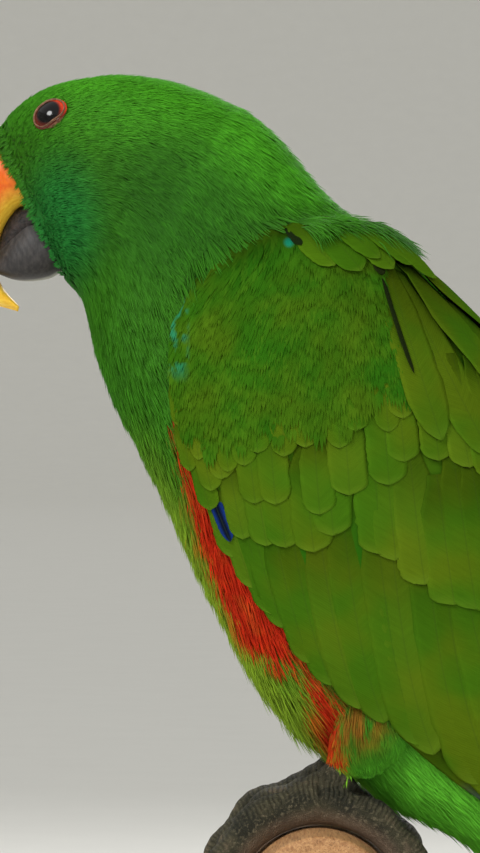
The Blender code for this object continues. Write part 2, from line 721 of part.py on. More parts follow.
def claw_mesh(toe):
    path, radius = toe_path(toe)
    tip, before = path[-1], path[-2]
    way = (tip - before) / np.linalg.norm(tip - before)
    axis = np.array([PERCH_X, tip[1], PERCH_Z])
    inward = (axis - tip) / np.linalg.norm(axis - tip)
    share = np.linspace(0, 1, 5)[:, None]
    length = CLAW_LENGTH * toe[6]
    ahead = GAP + length * share * np.cos(0.5 * share)
    aside = length * CLAW_CURL * share**2 - 0.6
    radii = radius[-1] * CLAW_SHARE * (1 - share[:, 0]) ** 0.7 + CLAW_TIP
    return tube("claw", tip + way * ahead + inward * aside, radii, 6)


def thigh_mesh(scratch, beside):
    """The feathered upper leg, from the belly down to the ankle."""
    leg = tube("thigh", [row[:3] for row in THIGH], [row[3] for row in THIGH], 14)
    cutters = [body_loft("cut", SKIN_GAP)] + [grown(mesh, SEAT_GAP) for mesh in beside]
    return boolean(leg, cutters, "DIFFERENCE", scratch)


def mesh_of(name, shell):
    made = bpy.data.meshes.new(name)
    shell.to_mesh(made)
    shell.free()
    return made


def box(name, size, centre):
    shell = bmesh.new()
    bmesh.ops.create_cube(shell, size=1.0)
    bmesh.ops.scale(shell, vec=Vector(size) * MM, verts=shell.verts)
    bmesh.ops.translate(shell, vec=Vector(centre) * MM, verts=shell.verts)
    return mesh_of(name, shell)


def bevelled(mesh, chosen, width, segments):
    """Rounds the mesh's edges for which chosen(edge) is true."""
    shell = bmesh.new()
    shell.from_mesh(mesh)
    edges = [e for e in shell.edges if chosen(e)]
    bmesh.ops.bevel(
        shell, geom=edges, offset=width * MM, segments=segments, affect="EDGES", profile=0.5
    )
    shell.to_mesh(mesh)
    shell.free()
    return mesh


def stand_base():
    top = BASE_THICKNESS * MM
    board = box("stand_base", (BASE_LENGTH, BASE_WIDTH, BASE_THICKNESS), (0, 0, BASE_THICKNESS / 2))
    bevelled(board, lambda e: abs(e.verts[0].co.z - e.verts[1].co.z) > top / 2, BASE_CORNER, 6)
    return bevelled(board, lambda e: min(v.co.z for v in e.verts) > top - 1e-5, BASE_BEVEL, 2)


def cylinder(name, radius, height, centre, segments, turn=None):
    shell = bmesh.new()
    wide, high = radius * MM, height * MM
    bmesh.ops.create_cone(shell, cap_ends=True, segments=segments, radius1=wide, radius2=wide, depth=high)
    if turn is not None:
        bmesh.ops.rotate(shell, matrix=turn, verts=shell.verts)
    bmesh.ops.translate(shell, vec=Vector(centre) * MM, verts=shell.verts)
    return mesh_of(name, shell)


def stand_rod():
    foot = BASE_THICKNESS + COLLAR_HEIGHT + 2 * GAP
    top = PERCH_Z + TABLE_ORIGIN[2] - PERCH_RADIUS + PERCH_FLAT - GAP
    centre = (PERCH_X + TABLE_ORIGIN[0], 0, (top + foot) / 2)
    return cylinder("stand_rod", ROD_RADIUS, top - foot, centre, 20)


def stand_collar():
    foot = BASE_THICKNESS + GAP
    middle = foot + COLLAR_HEIGHT / 2
    centre = (PERCH_X + TABLE_ORIGIN[0], 0, middle)
    collar = cylinder("stand_collar", COLLAR_RADIUS, COLLAR_HEIGHT, centre, 24)
    return bevelled(collar, lambda e: min(v.co.z for v in e.verts) > middle * MM, COLLAR_BEVEL, 2)


def stand_perch(scratch):
    x, axis = PERCH_X + TABLE_ORIGIN[0], PERCH_Z + TABLE_ORIGIN[2]
    across = Matrix.Rotation(math.radians(90), 3, "X")
    log = cylinder("stand_perch", PERCH_RADIUS, PERCH_LENGTH, (x, 0, axis), 28, across)
    ends = (PERCH_LENGTH / 2 - 0.1) * MM
    bevelled(log, lambda e: min(abs(v.co.y) for v in e.verts) > ends, PERCH_BEVEL, 1)
    flat = axis - PERCH_RADIUS + PERCH_FLAT
    cutter = box("flat", (2 * PERCH_RADIUS, 4 * ROD_RADIUS, 20), (x, 0, flat - 10))
    return boolean(log, [cutter], "DIFFERENCE", scratch)


def main():
    clear_scene()
    parrot = collection("eclectus_parrot")
    scratch = collection("cutters")
    green = material("green_feathers", (0.06, 0.30, 0.04), 0.6)
    wing_green = material("wing_feathers", (0.10, 0.30, 0.02), 0.5)
    orange = material("upper_bill", (0.80, 0.25, 0.03), 0.3)
    black = material("lower_bill", (0.02, 0.02, 0.02), 0.35)
    eye_black = material("eye", (0.02, 0.01, 0.01), 0.1)
    grey = material("foot_skin", (0.12, 0.12, 0.11), 0.8)
    wood = material("perch_wood", (0.30, 0.16, 0.07), 0.7)
    board = material("base_wood", (0.08, 0.05, 0.03), 0.5)
    steel = material("rod_steel", (0.5, 0.5, 0.5), 0.35, 1.0)

    upper_bill = bill_mesh("bill_upper", UPPER_BILL)
    lower_bill = bill_mesh("bill_lower", LOWER_BILL)
    lower_bill = boolean(lower_bill, [grown(upper_bill, SEAT_GAP)], "DIFFERENCE", scratch)
    node("head", head_mesh(scratch, [upper_bill, lower_bill]), parrot, green)
    for side, name in ((-1, "eye_left"), (1, "eye_right")):
        skin, normal, _, _ = eye_frame(side)
        node(name, ball(name, skin - normal * EYE_SUNK, EYE_RADIUS, 14, 10), parrot, eye_black)
    node("bill_upper", upper_bill, parrot, orange)
    node("bill_lower", lower_bill, parrot, black)
    node("neck", keep_between(body_loft("neck"), HEAD_CUT, NECK_CUT), parrot, green)
    node("torso", keep_between(body_loft("torso"), NECK_CUT, RUMP_CUT), parrot, green)
    node("rump", keep_between(body_loft("rump"), RUMP_CUT, TAIL_CUT), parrot, green)
    left_wing = wing_mesh(scratch)
    node("wing_left", left_wing, parrot, wing_green)
    node("wing_right", mirrored("wing_right", left_wing), parrot, wing_green)
    node("tail", tail_mesh(scratch), parrot, green)
    left_foot = foot_mesh(scratch)
    left_thigh = thigh_mesh(scratch, [left_foot, left_wing])
    node("thigh_left", left_thigh, parrot, green)
    node("thigh_right", mirrored("thigh_right", left_thigh), parrot, green)
    node("foot_left", left_foot, parrot, grey)
    node("foot_right", mirrored("foot_right", left_foot), parrot, grey)
    for toe in TOES:
        claw = claw_mesh(toe)
        node("claw_left_" + toe[0], claw, parrot, black)
        node("claw_right_" + toe[0], mirrored("claw", claw), parrot, black)
    node("stand_perch", stand_perch(scratch), parrot, wood)
    node("stand_rod", stand_rod(), parrot, steel)
    node("stand_collar", stand_collar(), parrot, steel)
    node("stand_base", stand_base(), parrot, board)


main()
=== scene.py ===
import math

import bmesh
import bpy
import numpy as np
from mathutils import Matrix, Vector


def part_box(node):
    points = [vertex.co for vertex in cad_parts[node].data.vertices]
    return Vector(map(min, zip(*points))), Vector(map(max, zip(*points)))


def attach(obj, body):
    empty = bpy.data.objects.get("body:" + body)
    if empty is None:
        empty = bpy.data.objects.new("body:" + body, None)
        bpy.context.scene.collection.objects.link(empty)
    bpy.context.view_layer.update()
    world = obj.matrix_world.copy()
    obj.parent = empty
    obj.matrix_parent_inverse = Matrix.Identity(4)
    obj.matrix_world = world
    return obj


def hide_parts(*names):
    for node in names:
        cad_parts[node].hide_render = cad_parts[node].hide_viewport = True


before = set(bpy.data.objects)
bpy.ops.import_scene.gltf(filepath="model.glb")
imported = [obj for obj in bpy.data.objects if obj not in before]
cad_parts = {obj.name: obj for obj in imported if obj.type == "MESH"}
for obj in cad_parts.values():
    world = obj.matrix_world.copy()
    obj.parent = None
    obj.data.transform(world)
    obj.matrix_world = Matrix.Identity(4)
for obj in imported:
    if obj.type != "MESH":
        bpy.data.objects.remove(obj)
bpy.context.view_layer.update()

# A male eclectus parrot on its display stand. Tables are in millimetres from a point beside the perch, as
# in the solids: X towards the tail, -Y to the bird's left, Z up.
mm = 0.001
tableOrigin = np.array((-26.0, 0.0, 94.0))

bodyShape = {
    # back x, back z, belly x, belly z, half width, and squareness of the back half and of the belly half
    "sections": (
        (-84.5, 190.0, -67.0, 155.5, 11.0, 0.80, 0.86),
        (-79.0, 197.0, -66.2, 154.3, 16.0, 0.76, 0.84),
        (-71.2, 202.3, -65.2, 153.2, 19.4, 0.74, 0.84),
        (-62.0, 204.8, -64.0, 152.0, 21.4, 0.74, 0.86),
        (-52.0, 205.7, -62.6, 150.4, 22.6, 0.76, 0.88),
        (-41.0, 204.4, -61.4, 147.8, 23.4, 0.79, 0.90),
        (-30.0, 201.0, -60.4, 143.4, 24.4, 0.83, 0.92),
        (-20.0, 196.0, -59.0, 137.4, 26.0, 0.87, 0.93),
        (-11.2, 188.0, -56.6, 130.2, 28.4, 0.90, 0.93),
        (-3.4, 178.6, -53.0, 121.4, 31.4, 0.92, 0.93),
        (5.0, 170.2, -47.6, 111.6, 34.2),
        (14.6, 162.6, -41.2, 99.8, 36.2),
        (24.2, 151.2, -33.6, 82.4, 37.2),
        (34.8, 139.4, -25.8, 67.0, 37.2),
        (45.2, 122.2, -16.6, 51.2, 35.8),
        (55.6, 100.8, -2.0, 37.6, 32.8),
        (63.4, 76.8, 16.4, 22.6, 28.6),
        (69.6, 52.2, 32.4, 14.8, 24.0),
        (76.0, 29.8, 44.4, 4.6, 19.6),
        (85.6, 13.0, 54.4, -9.4, 16.6),
        (92.4, -1.2, 65.8, -20.6, 15.0),
        (97.2, -13.6, 79.4, -27.2, 14.6),
        (105.0, -30.4, 94.0, -38.6, 13.0),
        (112.4, -45.0, 106.8, -49.2, 9.0),
        (116.2, -52.2, 113.8, -53.8, 4.0),
    ),
    "square": (0.93, 0.93),  # where a section gives none
    "coat": ((0, 0.7), (3, 1.0), (6, 1.4), (9, 2.0), (13, 2.6), (18, 2.4), (22, 1.8), (24, 0.8)),  # its depth
    "skinDown": 0.35,  # how far down its feathers' length the skin's colour is taken from
    "rows": 260,
    "columns": 112,
}

wingShape = {
    "from": 14,  # body section after which the folded wing has sections of its own
    "sections": (
        (46.8, 123.8, -16.8, 51.0, 36.2, 0.92, 0.90),
        (60.8, 105.0, -2.0, 37.0, 34.6, 0.92, 0.84),
        (73.4, 82.8, 16.0, 21.0, 31.4, 0.92, 0.76),
        (84.0, 59.4, 32.6, 12.0, 27.6, 0.92, 0.68),
        (92.6, 36.2, 46.2, 0.0, 24.0, 0.92, 0.60),
        (99.6, 14.2, 60.2, -13.0, 21.2, 0.92, 0.54),
        (105.4, -6.0, 74.4, -26.4, 18.8, 0.92, 0.50),
        (109.8, -22.8, 89.8, -38.4, 17.0, 0.92, 0.48),
        (113.2, -36.2, 103.2, -44.6, 15.4, 0.92, 0.48),
        (116.0, -47.0, 113.6, -50.0, 14.2, 0.92, 0.48),
    ),
    # in side view from the wrist to the tip: upper edge x, z and lower edge x, z
    "outline": (
        (-28.0, 160.0, -36.0, 149.6),
        (-16.0, 165.0, -37.2, 138.0),
        (-3.0, 166.6, -36.2, 123.0),
        (9.6, 163.2, -32.4, 107.6),
        (21.4, 151.4, -26.0, 93.8),
        (33.6, 138.6, -17.6, 79.0),
        (45.6, 124.0, -8.0, 65.4),
        (57.8, 108.4, 4.8, 50.6),
        (70.0, 88.6, 20.0, 39.6),
        (80.6, 66.8, 35.6, 28.4),
        (89.8, 43.4, 51.6, 12.8),
        (97.4, 20.6, 68.0, -2.6),
        (103.6, -0.6, 84.4, -16.4),
        (108.6, -19.6, 99.6, -28.4),
        (112.0, -33.6, 110.0, -37.4),
    ),
    "meetFrom": 3.0, "meetOver": 3.0, "meetTurn": 0.11,  # rows over which the wings close over the back
    "thickness": ((0, 1.4), (1.2, 5.0), (3, 7.6), (5, 7.4), (7, 5.6), (9, 4.0), (11, 2.6), (14, 1.2)),
    "edge": 0.06, "fullness": 0.45,  # how thick it is at its edges, and how soon it fills out from them
    "clear": 1.0,  # height of its underside over the body
    "skinUnder": 1.6,  # the wing's skin lies this far under its feathers
    "skinEnd": 2.2,  # rows that it stops short of the wing's tip
}


def alike(*items):
    # the items as arrays of one shape
    return np.broadcast_arrays(*(np.asarray(item, float) for item in items))


def unit(vectors):
    return vectors / np.maximum(np.linalg.norm(vectors, axis=-1, keepdims=True), 1e-9)


def signedPower(value, power):
    return np.sign(value) * np.abs(value) ** power


def fullTurn(count):
    return np.arange(count) * (2 * math.pi / count)


def readPairs(pairs, at):
    # a value that changes along the body, from (place, value) pairs
    return np.interp(at, *np.array(pairs, float).T)


def middleAndHalf(rows):
    # the middle between the two side-view places that a row starts with, and the way from it to the first
    return (rows[..., 0:2] + rows[..., 2:4]) / 2, (rows[..., 0:2] - rows[..., 2:4]) / 2


def sectionTable(sections):
    return np.array([row if len(row) == 7 else row + bodyShape["square"] for row in sections])


def readTable(table, at):
    # the table's rows, read smoothly at the numbers in at
    table, at = np.asarray(table, float), np.asarray(at, float)
    last = len(table) - 1
    low = np.clip(np.floor(at).astype(int), 0, last - 1)
    t = (at - low)[..., None]
    start, end = table[low], table[low + 1]
    before = np.where((low > 0)[..., None], table[np.maximum(low - 1, 0)], 2 * start - end)
    after = np.where((low + 2 <= last)[..., None], table[np.minimum(low + 2, last)], 2 * end - start)
    bend = 2 * before - 5 * start + 4 * end - after
    twist = 3 * start - before - 3 * end + after
    return 0.5 * (2 * start + (end - before) * t + bend * t**2 + twist * t**3)


def smoothStep(value, low, high):
    t = np.clip((value - low) / (high - low), 0, 1)
    return t * t * (3 - 2 * t)


def ringPoint(table, at, turn):
    row = readTable(table, at)
    up, out = np.cos(turn), np.sin(turn)
    power = np.where(up > 0, row[..., 5], row[..., 6])
    middle, half = middleAndHalf(row)
    place = middle + signedPower(up, power)[..., None] * half
    return np.stack([place[..., 0], -signedPower(out, power) * row[..., 4], place[..., 1]], axis=-1)


def liftedPoint(table, at, turn, lift):
    at, turn, lift = alike(at, turn, lift)
    step = 0.02
    ahead = ringPoint(table, at + step, turn) - ringPoint(table, at - step, turn)
    around = ringPoint(table, at, turn + step) - ringPoint(table, at, turn - step)
    return ringPoint(table, at, turn) + unit(np.cross(around, ahead)) * lift[..., None]


bodyTable = sectionTable(bodyShape["sections"])
bodyLast = len(bodyTable) - 1
wingTable = sectionTable(bodyShape["sections"][:wingShape["from"]] + wingShape["sections"])
wingLast = len(wingShape["outline"]) - 1


def bodySurface(at, turn, lift):
    return liftedPoint(bodyTable, np.clip(at, -0.4, bodyLast - 0.03), turn, lift)


def sideView(table, x, z, first=7.0):
    # section number and turn of what a side view shows at x, z
    numbers = np.linspace(first, len(table) - 0.2, 900)
    middle, half = middleAndHalf(readTable(table, numbers))
    x, z = np.ravel(x), np.ravel(z)
    ahead = (x[:, None] - middle[:, 0]) * half[:, 1] - (z[:, None] - middle[:, 1]) * half[:, 0]
    crossing = np.clip(np.argmax(ahead < 0, axis=1), 1, len(numbers) - 1)
    each = np.arange(len(x))
    before, after = ahead[each, crossing - 1], ahead[each, crossing]
    gap = numbers[crossing] - numbers[crossing - 1]
    at = numbers[crossing - 1] + np.clip(before / (before - after), 0, 1) * gap
    row = readTable(table, at)
    middle, half = middleAndHalf(row)
    up = ((x - middle[:, 0]) * half[:, 0] + (z - middle[:, 1]) * half[:, 1]) / (half**2).sum(axis=1)
    up = np.clip(up, -0.992, 0.992)
    return at, np.arccos(signedPower(up, 1 / np.where(up > 0, row[:, 5], row[:, 6])))


def wingEdgeTable():
    outline = np.array(wingShape["outline"])
    upper = sideView(wingTable, outline[:, 0], outline[:, 1])
    lower = sideView(wingTable, outline[:, 2], outline[:, 3])
    meeting = np.clip((np.arange(len(outline)) - wingShape["meetFrom"]) / wingShape["meetOver"], 0, 1)
    closed = upper[1] * (1 - meeting) + np.minimum(upper[1], wingShape["meetTurn"]) * meeting
    return np.stack([upper[0], closed, lower[0], lower[1]], axis=-1)


wingEdges = wingEdgeTable()


def wingSurface(row, share, lift):
    # a point of the folded left wing: row of its outline, share from its upper to its lower edge, height
    # above the body in millimetres over the wing's own thickness
    row, share, lift = alike(row, share, lift)
    edges = readTable(wingEdges, np.clip(row, 0, wingLast))
    at = edges[..., 0] + share * (edges[..., 2] - edges[..., 0])
    turn = edges[..., 1] + share * (edges[..., 3] - edges[..., 1])
    edge = wingShape["edge"]
    crown = np.sin(math.pi * (edge + (1 - 2 * edge) * np.clip(share, 0.0, 1.0))) ** wingShape["fullness"]
    full = readPairs(wingShape["thickness"], row) * crown
    at = at + np.clip(row - wingLast, 0, None) * 0.6
    return liftedPoint(wingTable, at, turn, lift + wingShape["clear"] + full)


def eitherSide(operation):
    # the two methods of an operator: with the socket before the other value, and after it
    return (lambda wire, other: wire.reckon(operation, wire, other),
            lambda wire, other: wire.reckon(operation, other, wire))


def slopes(surface, u, v):
    # how the surface moves for each unit of u and of v
    step = 0.02
    alongU = (surface(u + step, v, 0.0) - surface(u - step, v, 0.0)) / (2 * step)
    alongV = (surface(u, v + step, 0.0) - surface(u, v - step, 0.0)) / (2 * step)
    return alongU, alongV


def stepFor(alongU, alongV, way):
    # steps of u and v that move one millimetre along the surface towards way
    a, b, c = ((alongU * alongU).sum(-1), (alongU * alongV).sum(-1), (alongV * alongV).sum(-1))
    e, f = (alongU * way).sum(-1), (alongV * way).sum(-1)
    area = np.maximum(a * c - b * b, 1e-9)
    du, dv = (e * c - f * b) / area, (f * a - e * b) / area
    moved = np.linalg.norm(alongU * du[..., None] + alongV * dv[..., None], axis=-1)
    return du / np.maximum(moved, 1e-6), dv / np.maximum(moved, 1e-6)


# Shader maths

def hue(red, green, blue):
    # a screen colour of 0 to 255 as the shader wants it
    return tuple(((c / 255 + 0.055) / 1.055) ** 2.4 if c > 10 else c / 255 / 12.92
                 for c in (red, green, blue))


class Wire:
    # one output socket; operators on it add Math nodes, or Vector Math nodes where it holds a vector
    def __init__(self, net, socket):
        self.net, self.socket = net, socket

    def reckon(self, operation, first, second=None):
        held = [item for item in (first, second) if item is not None]
        vector = any(isinstance(item, Wire) and item.socket.type == "VECTOR" for item in held)
        kind = "ShaderNodeVectorMath" if vector else "ShaderNodeMath"
        made = self.net.add(kind, {"operation": operation}, dict(enumerate(held)))
        return made["Vector"] if vector else made["Value"]

    __add__, __radd__ = eitherSide("ADD")
    __sub__, __rsub__ = eitherSide("SUBTRACT")
    __mul__, __rmul__ = eitherSide("MULTIPLY")
    __truediv__, __rtruediv__ = eitherSide("DIVIDE")
    __pow__, __rpow__ = eitherSide("POWER")
    most, _ = eitherSide("MAXIMUM")

    def __abs__(self):
        return self.reckon("ABSOLUTE", self)

    def sine(self):
        return self.reckon("SINE", self)

    def between(self, low, high):
        # 0 below low, 1 above high, smooth in between
        inputs = {"Value": self, "From Min": low, "From Max": high}
        return self.net.add("ShaderNodeMapRange", {"interpolation_type": "SMOOTHSTEP"}, inputs)["Result"]


class Finish:
    # a material and its nodes
    def __init__(self, name, **fixed):
        self.material = bpy.data.materials.new(name)
        self.material.use_nodes = True
        self.tree = self.material.node_tree
        self.shader = self.tree.nodes["Principled BSDF"]
        for socket, value in fixed.items():
            self.shader.inputs[socket.replace("_", " ")].default_value = value

    def feed(self, socket, value):
        if isinstance(value, Wire):
            self.tree.links.new(value.socket, socket)
        elif socket.type == "RGBA":
            socket.default_value = (*value[:3], 1.0)
        elif socket.type == "VECTOR":
            socket.default_value = value if hasattr(value, "__len__") else (value,) * 3
        else:
            socket.default_value = value

    def add(self, kind, settings=None, inputs=None):
        # a node with its settings and inputs; gives its outputs by name and by identifier
        node = self.tree.nodes.new(kind)
        for key, value in (settings or {}).items():
            setattr(node, key, value)
        known = {socket.identifier: socket for socket in node.inputs}
        for key, value in (inputs or {}).items():
            self.feed(known.get(key) or node.inputs[key], value)
        return {key: Wire(self, out) for out in node.outputs for key in (out.name, out.identifier)}

    def mix(self, mask, first, second, blend="MIX"):
        inputs = {"Factor_Float": mask, "A_Color": first, "B_Color": second}
        return self.add("ShaderNodeMix", {"data_type": "RGBA", "blend_type": blend}, inputs)["Result_Color"]

    def tint(self, colour, strength):
        # the colour made lighter or darker by a value
        grey = self.add("ShaderNodeCombineColor", None, {0: strength, 1: strength, 2: strength})["Color"]
        return self.mix(1.0, colour, grey, "MULTIPLY")

    def place(self):
        # millimetres from the tables' own point
        return self.add("ShaderNodeTexCoord")["Object"] * (1 / mm) - tuple(tableOrigin)

    def parts(self, vector):
        made = self.add("ShaderNodeSeparateXYZ", None, {0: vector})
        return made["X"], made["Y"], made["Z"]

    def vector(self, x, y, z):
        return self.add("ShaderNodeCombineXYZ", None, {0: x, 1: y, 2: z})["Vector"]

    def noise(self, place, scale, detail=2.0, rough=0.5):
        inputs = {"Vector": place, "Scale": scale, "Detail": detail, "Roughness": rough}
        return self.add("ShaderNodeTexNoise", None, inputs)["Fac"]

    def cells(self, place, scale, feature="F1"):
        inputs = {"Vector": place, "Scale": scale}
        return self.add("ShaderNodeTexVoronoi", {"feature": feature}, inputs)["Distance"]

    def plume(self):
        # what a piece's mesh carries at each point
        made = self.add("ShaderNodeAttribute", {"attribute_name": "plume"})
        split = self.add("ShaderNodeSeparateColor", None, {0: made["Color"]})
        return split["Red"], split["Green"], split["Blue"], made["Alpha"]

    def done(self, colour, rough=None, height=None, distance=0.2, strength=1.0):
        # distance is the depth of the bumps in millimetres
        self.feed(self.shader.inputs["Base Color"], colour)
        if rough is not None:
            self.feed(self.shader.inputs["Roughness"], rough)
        if height is not None:
            inputs = {"Strength": strength, "Distance": distance * mm, "Height": height}
            self.feed(self.shader.inputs["Normal"], self.add("ShaderNodeBump", None, inputs)["Normal"])
        return self.material


def shown(name, data):
    # an object in the scene
    made = bpy.data.objects.new(name, data)
    bpy.context.scene.collection.objects.link(made)
    return made


# Meshes

def meshPiece(name, points, faces, finishes, uv=None, plume=None, vane=None):
    # an object from points in millimetres and triangles or quads; uv, plume and vane are per point
    made = bpy.data.meshes.new(name)
    points, faces = np.asarray(points, float).reshape(-1, 3), np.asarray(faces, int)
    made.vertices.add(len(points))
    made.vertices.foreach_set("co", ((points + tableOrigin) * mm).astype(np.float32).ravel())
    made.loops.add(faces.size)
    made.loops.foreach_set("vertex_index", faces.ravel().astype(np.int32))
    made.polygons.add(len(faces))
    made.polygons.foreach_set("loop_start", np.arange(0, faces.size, faces.shape[1], dtype=np.int32))
    made.update(calc_edges=True)
    for mapName, places in (("OFBake", uv), ("vane", vane)):
        if places is not None:
            layer = made.uv_layers.new(name=mapName)
            layer.data.foreach_set("uv", np.asarray(places, np.float32).reshape(-1, 2)[faces.ravel()].ravel())
    if plume is not None:
        held = made.attributes.new("plume", "FLOAT_COLOR", "POINT")
        held.data.foreach_set("color", np.asarray(plume, np.float32).ravel())
    made.validate()
    made.shade_smooth()
    for finish in finishes if isinstance(finishes, (list, tuple)) else [finishes]:
        made.materials.append(finish)
    return shown(name, made)


def gridFaces(rows, columns, closed=False):
    r, c = np.meshgrid(np.arange(rows - 1), np.arange(columns if closed else columns - 1), indexing="ij")
    d = (c + 1) % columns
    here, after = r * columns, (r + 1) * columns
    quads = np.stack([here + c, after + c, after + d, here + d], axis=-1)
    return quads.reshape(-1, 4)


def cappedFaces(rows, columns):
    # triangles of a closed tube of rings, with a fan to a point more at its first and at its last end
    quads = gridFaces(rows, columns, closed=True)
    c = np.arange(columns)
    d = np.roll(c, -1)
    last, count = (rows - 1) * columns, rows * columns
    first = np.stack([c, d, np.full(columns, count)], axis=-1)
    second = np.stack([np.full(columns, count + 1), last + d, last + c], axis=-1)
    return np.concatenate([quads[:, [0, 1, 2]], quads[:, [0, 2, 3]], first, second])


def withEnds(values):
    # the values of all rings in one list, then the means of the first ring and of the last
    return np.concatenate([values.reshape(-1, values.shape[-1]), values[[0, -1]].mean(axis=1)])


def mirrorPiece(piece, name):
    # the same piece on the bird's right side
    made = piece.data.copy()
    points = np.zeros(len(made.vertices) * 3, np.float32)
    made.vertices.foreach_get("co", points)
    points[1::3] *= -1
    made.vertices.foreach_set("co", points)
    made.flip_normals()
    made.update()
    copy = shown(name, made)
    for modifier in piece.modifiers:
        same = copy.modifiers.new(modifier.name, modifier.type)
        for key in ("thickness", "offset", "material_offset", "material_offset_rim"):
            setattr(same, key, getattr(modifier, key))
    return copy


def settle(piece, slot, *nodes):
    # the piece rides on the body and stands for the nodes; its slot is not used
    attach(piece, "root")
    if nodes:
        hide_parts(*nodes)
    return piece


# Markings, in side view

flank = {
    # the red of the flank: height, front edge, back edge (which runs on under the wing)
    "upper": ((120.0, -39.0, -35.5), (112.0, -38.0, -30.0), (99.5, -35.6, -20.0), (84.5, -32.0, -10.0),
              (74.5, -27.6, -4.0), (63.0, -24.0, -3.0)),
    "lower": ((60.5, -8.2, -6.0), (53.0, -6.6, 0.0), (48.0, -5.6, 1.6), (41.0, -4.4, 3.2), (34.5, -2.8, 2.2)),
    "edge": 1.8, "end": 3.5,  # how soft its sides and its ends are
    "side": (6.0, 13.0),  # it fades in between these distances from the middle of the belly
    "ragged": (2.2, 0.33),  # waves of its lower edge from the front: height, turns by the millimetre
}


def redAt(x, z, y=19.0):
    # how red the coat is at x, y, z
    found = np.zeros_like(x)
    soft, end = flank["edge"], flank["end"]
    high, turns = flank["ragged"]
    z = z + high * np.sin(np.abs(y) * turns)
    for zone in (flank["upper"], flank["lower"]):
        heights, fronts, backs = np.array(zone[::-1]).T
        front, back = np.interp(z, heights, fronts), np.interp(z, heights, backs)
        mask = smoothStep(x - front, -soft, soft) * (1 - smoothStep(x - back, -soft, soft))
        low, top = heights[0], heights[-1]
        mask *= smoothStep(z, low - end, low) * (1 - smoothStep(z, top, top + end))
        found = np.maximum(found, mask)
    return found * smoothStep(np.abs(y), *flank["side"])


plumage = {
    "mid": hue(47, 104, 15), "crown": hue(63, 140, 22), "cheek": hue(36, 91, 12), "sheen": hue(20, 108, 46),
    "belly": hue(122, 150, 32), "vent": hue(100, 192, 50), "brown": hue(138, 78, 20),
    "speck": hue(26, 34, 14), "red": hue(172, 34, 6), "orange": hue(178, 84, 22),
    "down": 0.56, "tips": 1.04,  # how light a feather is at its root and at its tip
    # round patches in side view: middle x, z, half width, half height, softness
    "spots": {
        "crown": (-30.0, 212.0, 52.0, 24.0, 0.45), "nape": (-4.0, 188.0, 30.0, 16.0, 0.45),
        "cheek": (-40.0, 170.0, 22.0, 15.0, 0.7), "chin": (-67.0, 168.0, 9.0, 15.0, 0.6),
        "thigh": (5.0, 45.5, 8.5, 7.5, 0.6), "forehead": (-79.0, 186.0, 9.0, 8.0, 0.5),
    },
}


def coatFinish(name):
    look = plumage
    net = Finish(name, Specular_IOR_Level=0.1)
    place = net.place()
    x, _, z = net.parts(place)
    red, tone, along, strand = net.plume()

    def spot(key):
        middleX, middleZ, wide, high, soft = look["spots"][key]
        off = (((x - middleX) / wide) ** 2.0 + ((z - middleZ) / high) ** 2.0) ** 0.5
        return 1 - off.between(1 - soft, 1 + soft)

    # crown and nape lighter, cheek darker: partly the plumage's own colour, partly painted light from above
    # on crown and nape and painted shade on the cheek
    colour = net.mix(spot("crown").most(spot("nape")), look["mid"], look["crown"])
    colour = net.mix(spot("cheek") * 0.75, colour, look["cheek"])
    colour = net.mix(spot("chin") * 0.7, colour, look["sheen"])
    low = 99.5 - z
    belt = x - (low * 0.4 + low * low * 0.0032 - 42.5)  # how far behind the outline of the breast
    strip = (1 - belt.between(2.0, 9.0)) * (1 - z.between(80.0, 125.0))
    under = (1 - z.between(46.0, 64.0)) * (1 - x.between(-5.0, 5.0))
    colour = net.mix(strip.most(under) * 0.8, colour, look["belly"])
    # the vent and the underside by the tail a brighter green: partly their own lighter colour, partly painted
    # light where they face down into shade
    colour = net.mix((1 - (z - x * 0.9).between(6.0, 40.0)) * 0.85, colour, look["vent"])
    colour = net.tint(colour, 0.74 + 0.5 * net.noise(place, 0.09, 3.0, 0.55))
    streaks = net.noise(place * (0.5, 0.5, 0.12), 1.0, 2.0).between(0.32, 0.58)
    colour = net.mix(spot("thigh") * streaks * 0.78, colour, look["brown"])
    rusty = net.noise(place, 0.16, 2.0).between(0.5, 0.8) * 0.6
    colour = net.mix(red, colour, net.mix(rusty, look["red"], look["orange"]))
    light = look["down"] + (look["tips"] - look["down"]) * along.between(0.0, 0.7)
    colour = net.tint(colour, light * (0.84 + 0.24 * tone) * (0.84 + 0.34 * strand))
    specks = spot("forehead") * net.noise(place, 1.2, 2.0).between(0.58, 0.66)
    colour = net.mix(specks * 0.7, colour, look["speck"])
    fine = net.noise(place, 2.6, 2.0)
    return net.done(colour, rough=0.54 + 0.14 * fine, height=fine, strength=0.3)


coatGreen = coatFinish("coat_green")


# The coat: tufts of tapered strands, each tuft one feather

def strandPattern(rings):
    # places along and across a strand, its raised middle, and its triangles
    along, side = [rings[0]] * 2, [-1, 1]
    for ring in rings[1:-1]:
        along += [ring] * 3
        side += [-1, 0, 1]
    tip = len(along)
    faces = [(0, 2, 3), (0, 3, 1), (1, 3, 4)]
    for a in range(2, tip - 3, 3):
        b, c = a + 1, a + 2
        faces += [(a, a + 3, b + 3), (a, b + 3, b), (b, b + 3, c + 3), (b, c + 3, c)]
    faces += [(tip - 3, tip, tip - 2), (tip - 2, tip, tip - 1)]
    side = np.array(side + [0], float)
    ridge = (side == 0) & (np.arange(tip + 1) < tip)
    return np.array(along + [rings[-1]]), side, ridge.astype(float), np.array(faces)


def rootsOf(kept=slice(None), **values):
    # the values of all tufts; a plain number holds for each of them
    count = len(values["u"])
    full = {key: value if np.ndim(value) else np.full(count, float(value)) for key, value in values.items()}
    return {key: value[kept] for key, value in full.items()}


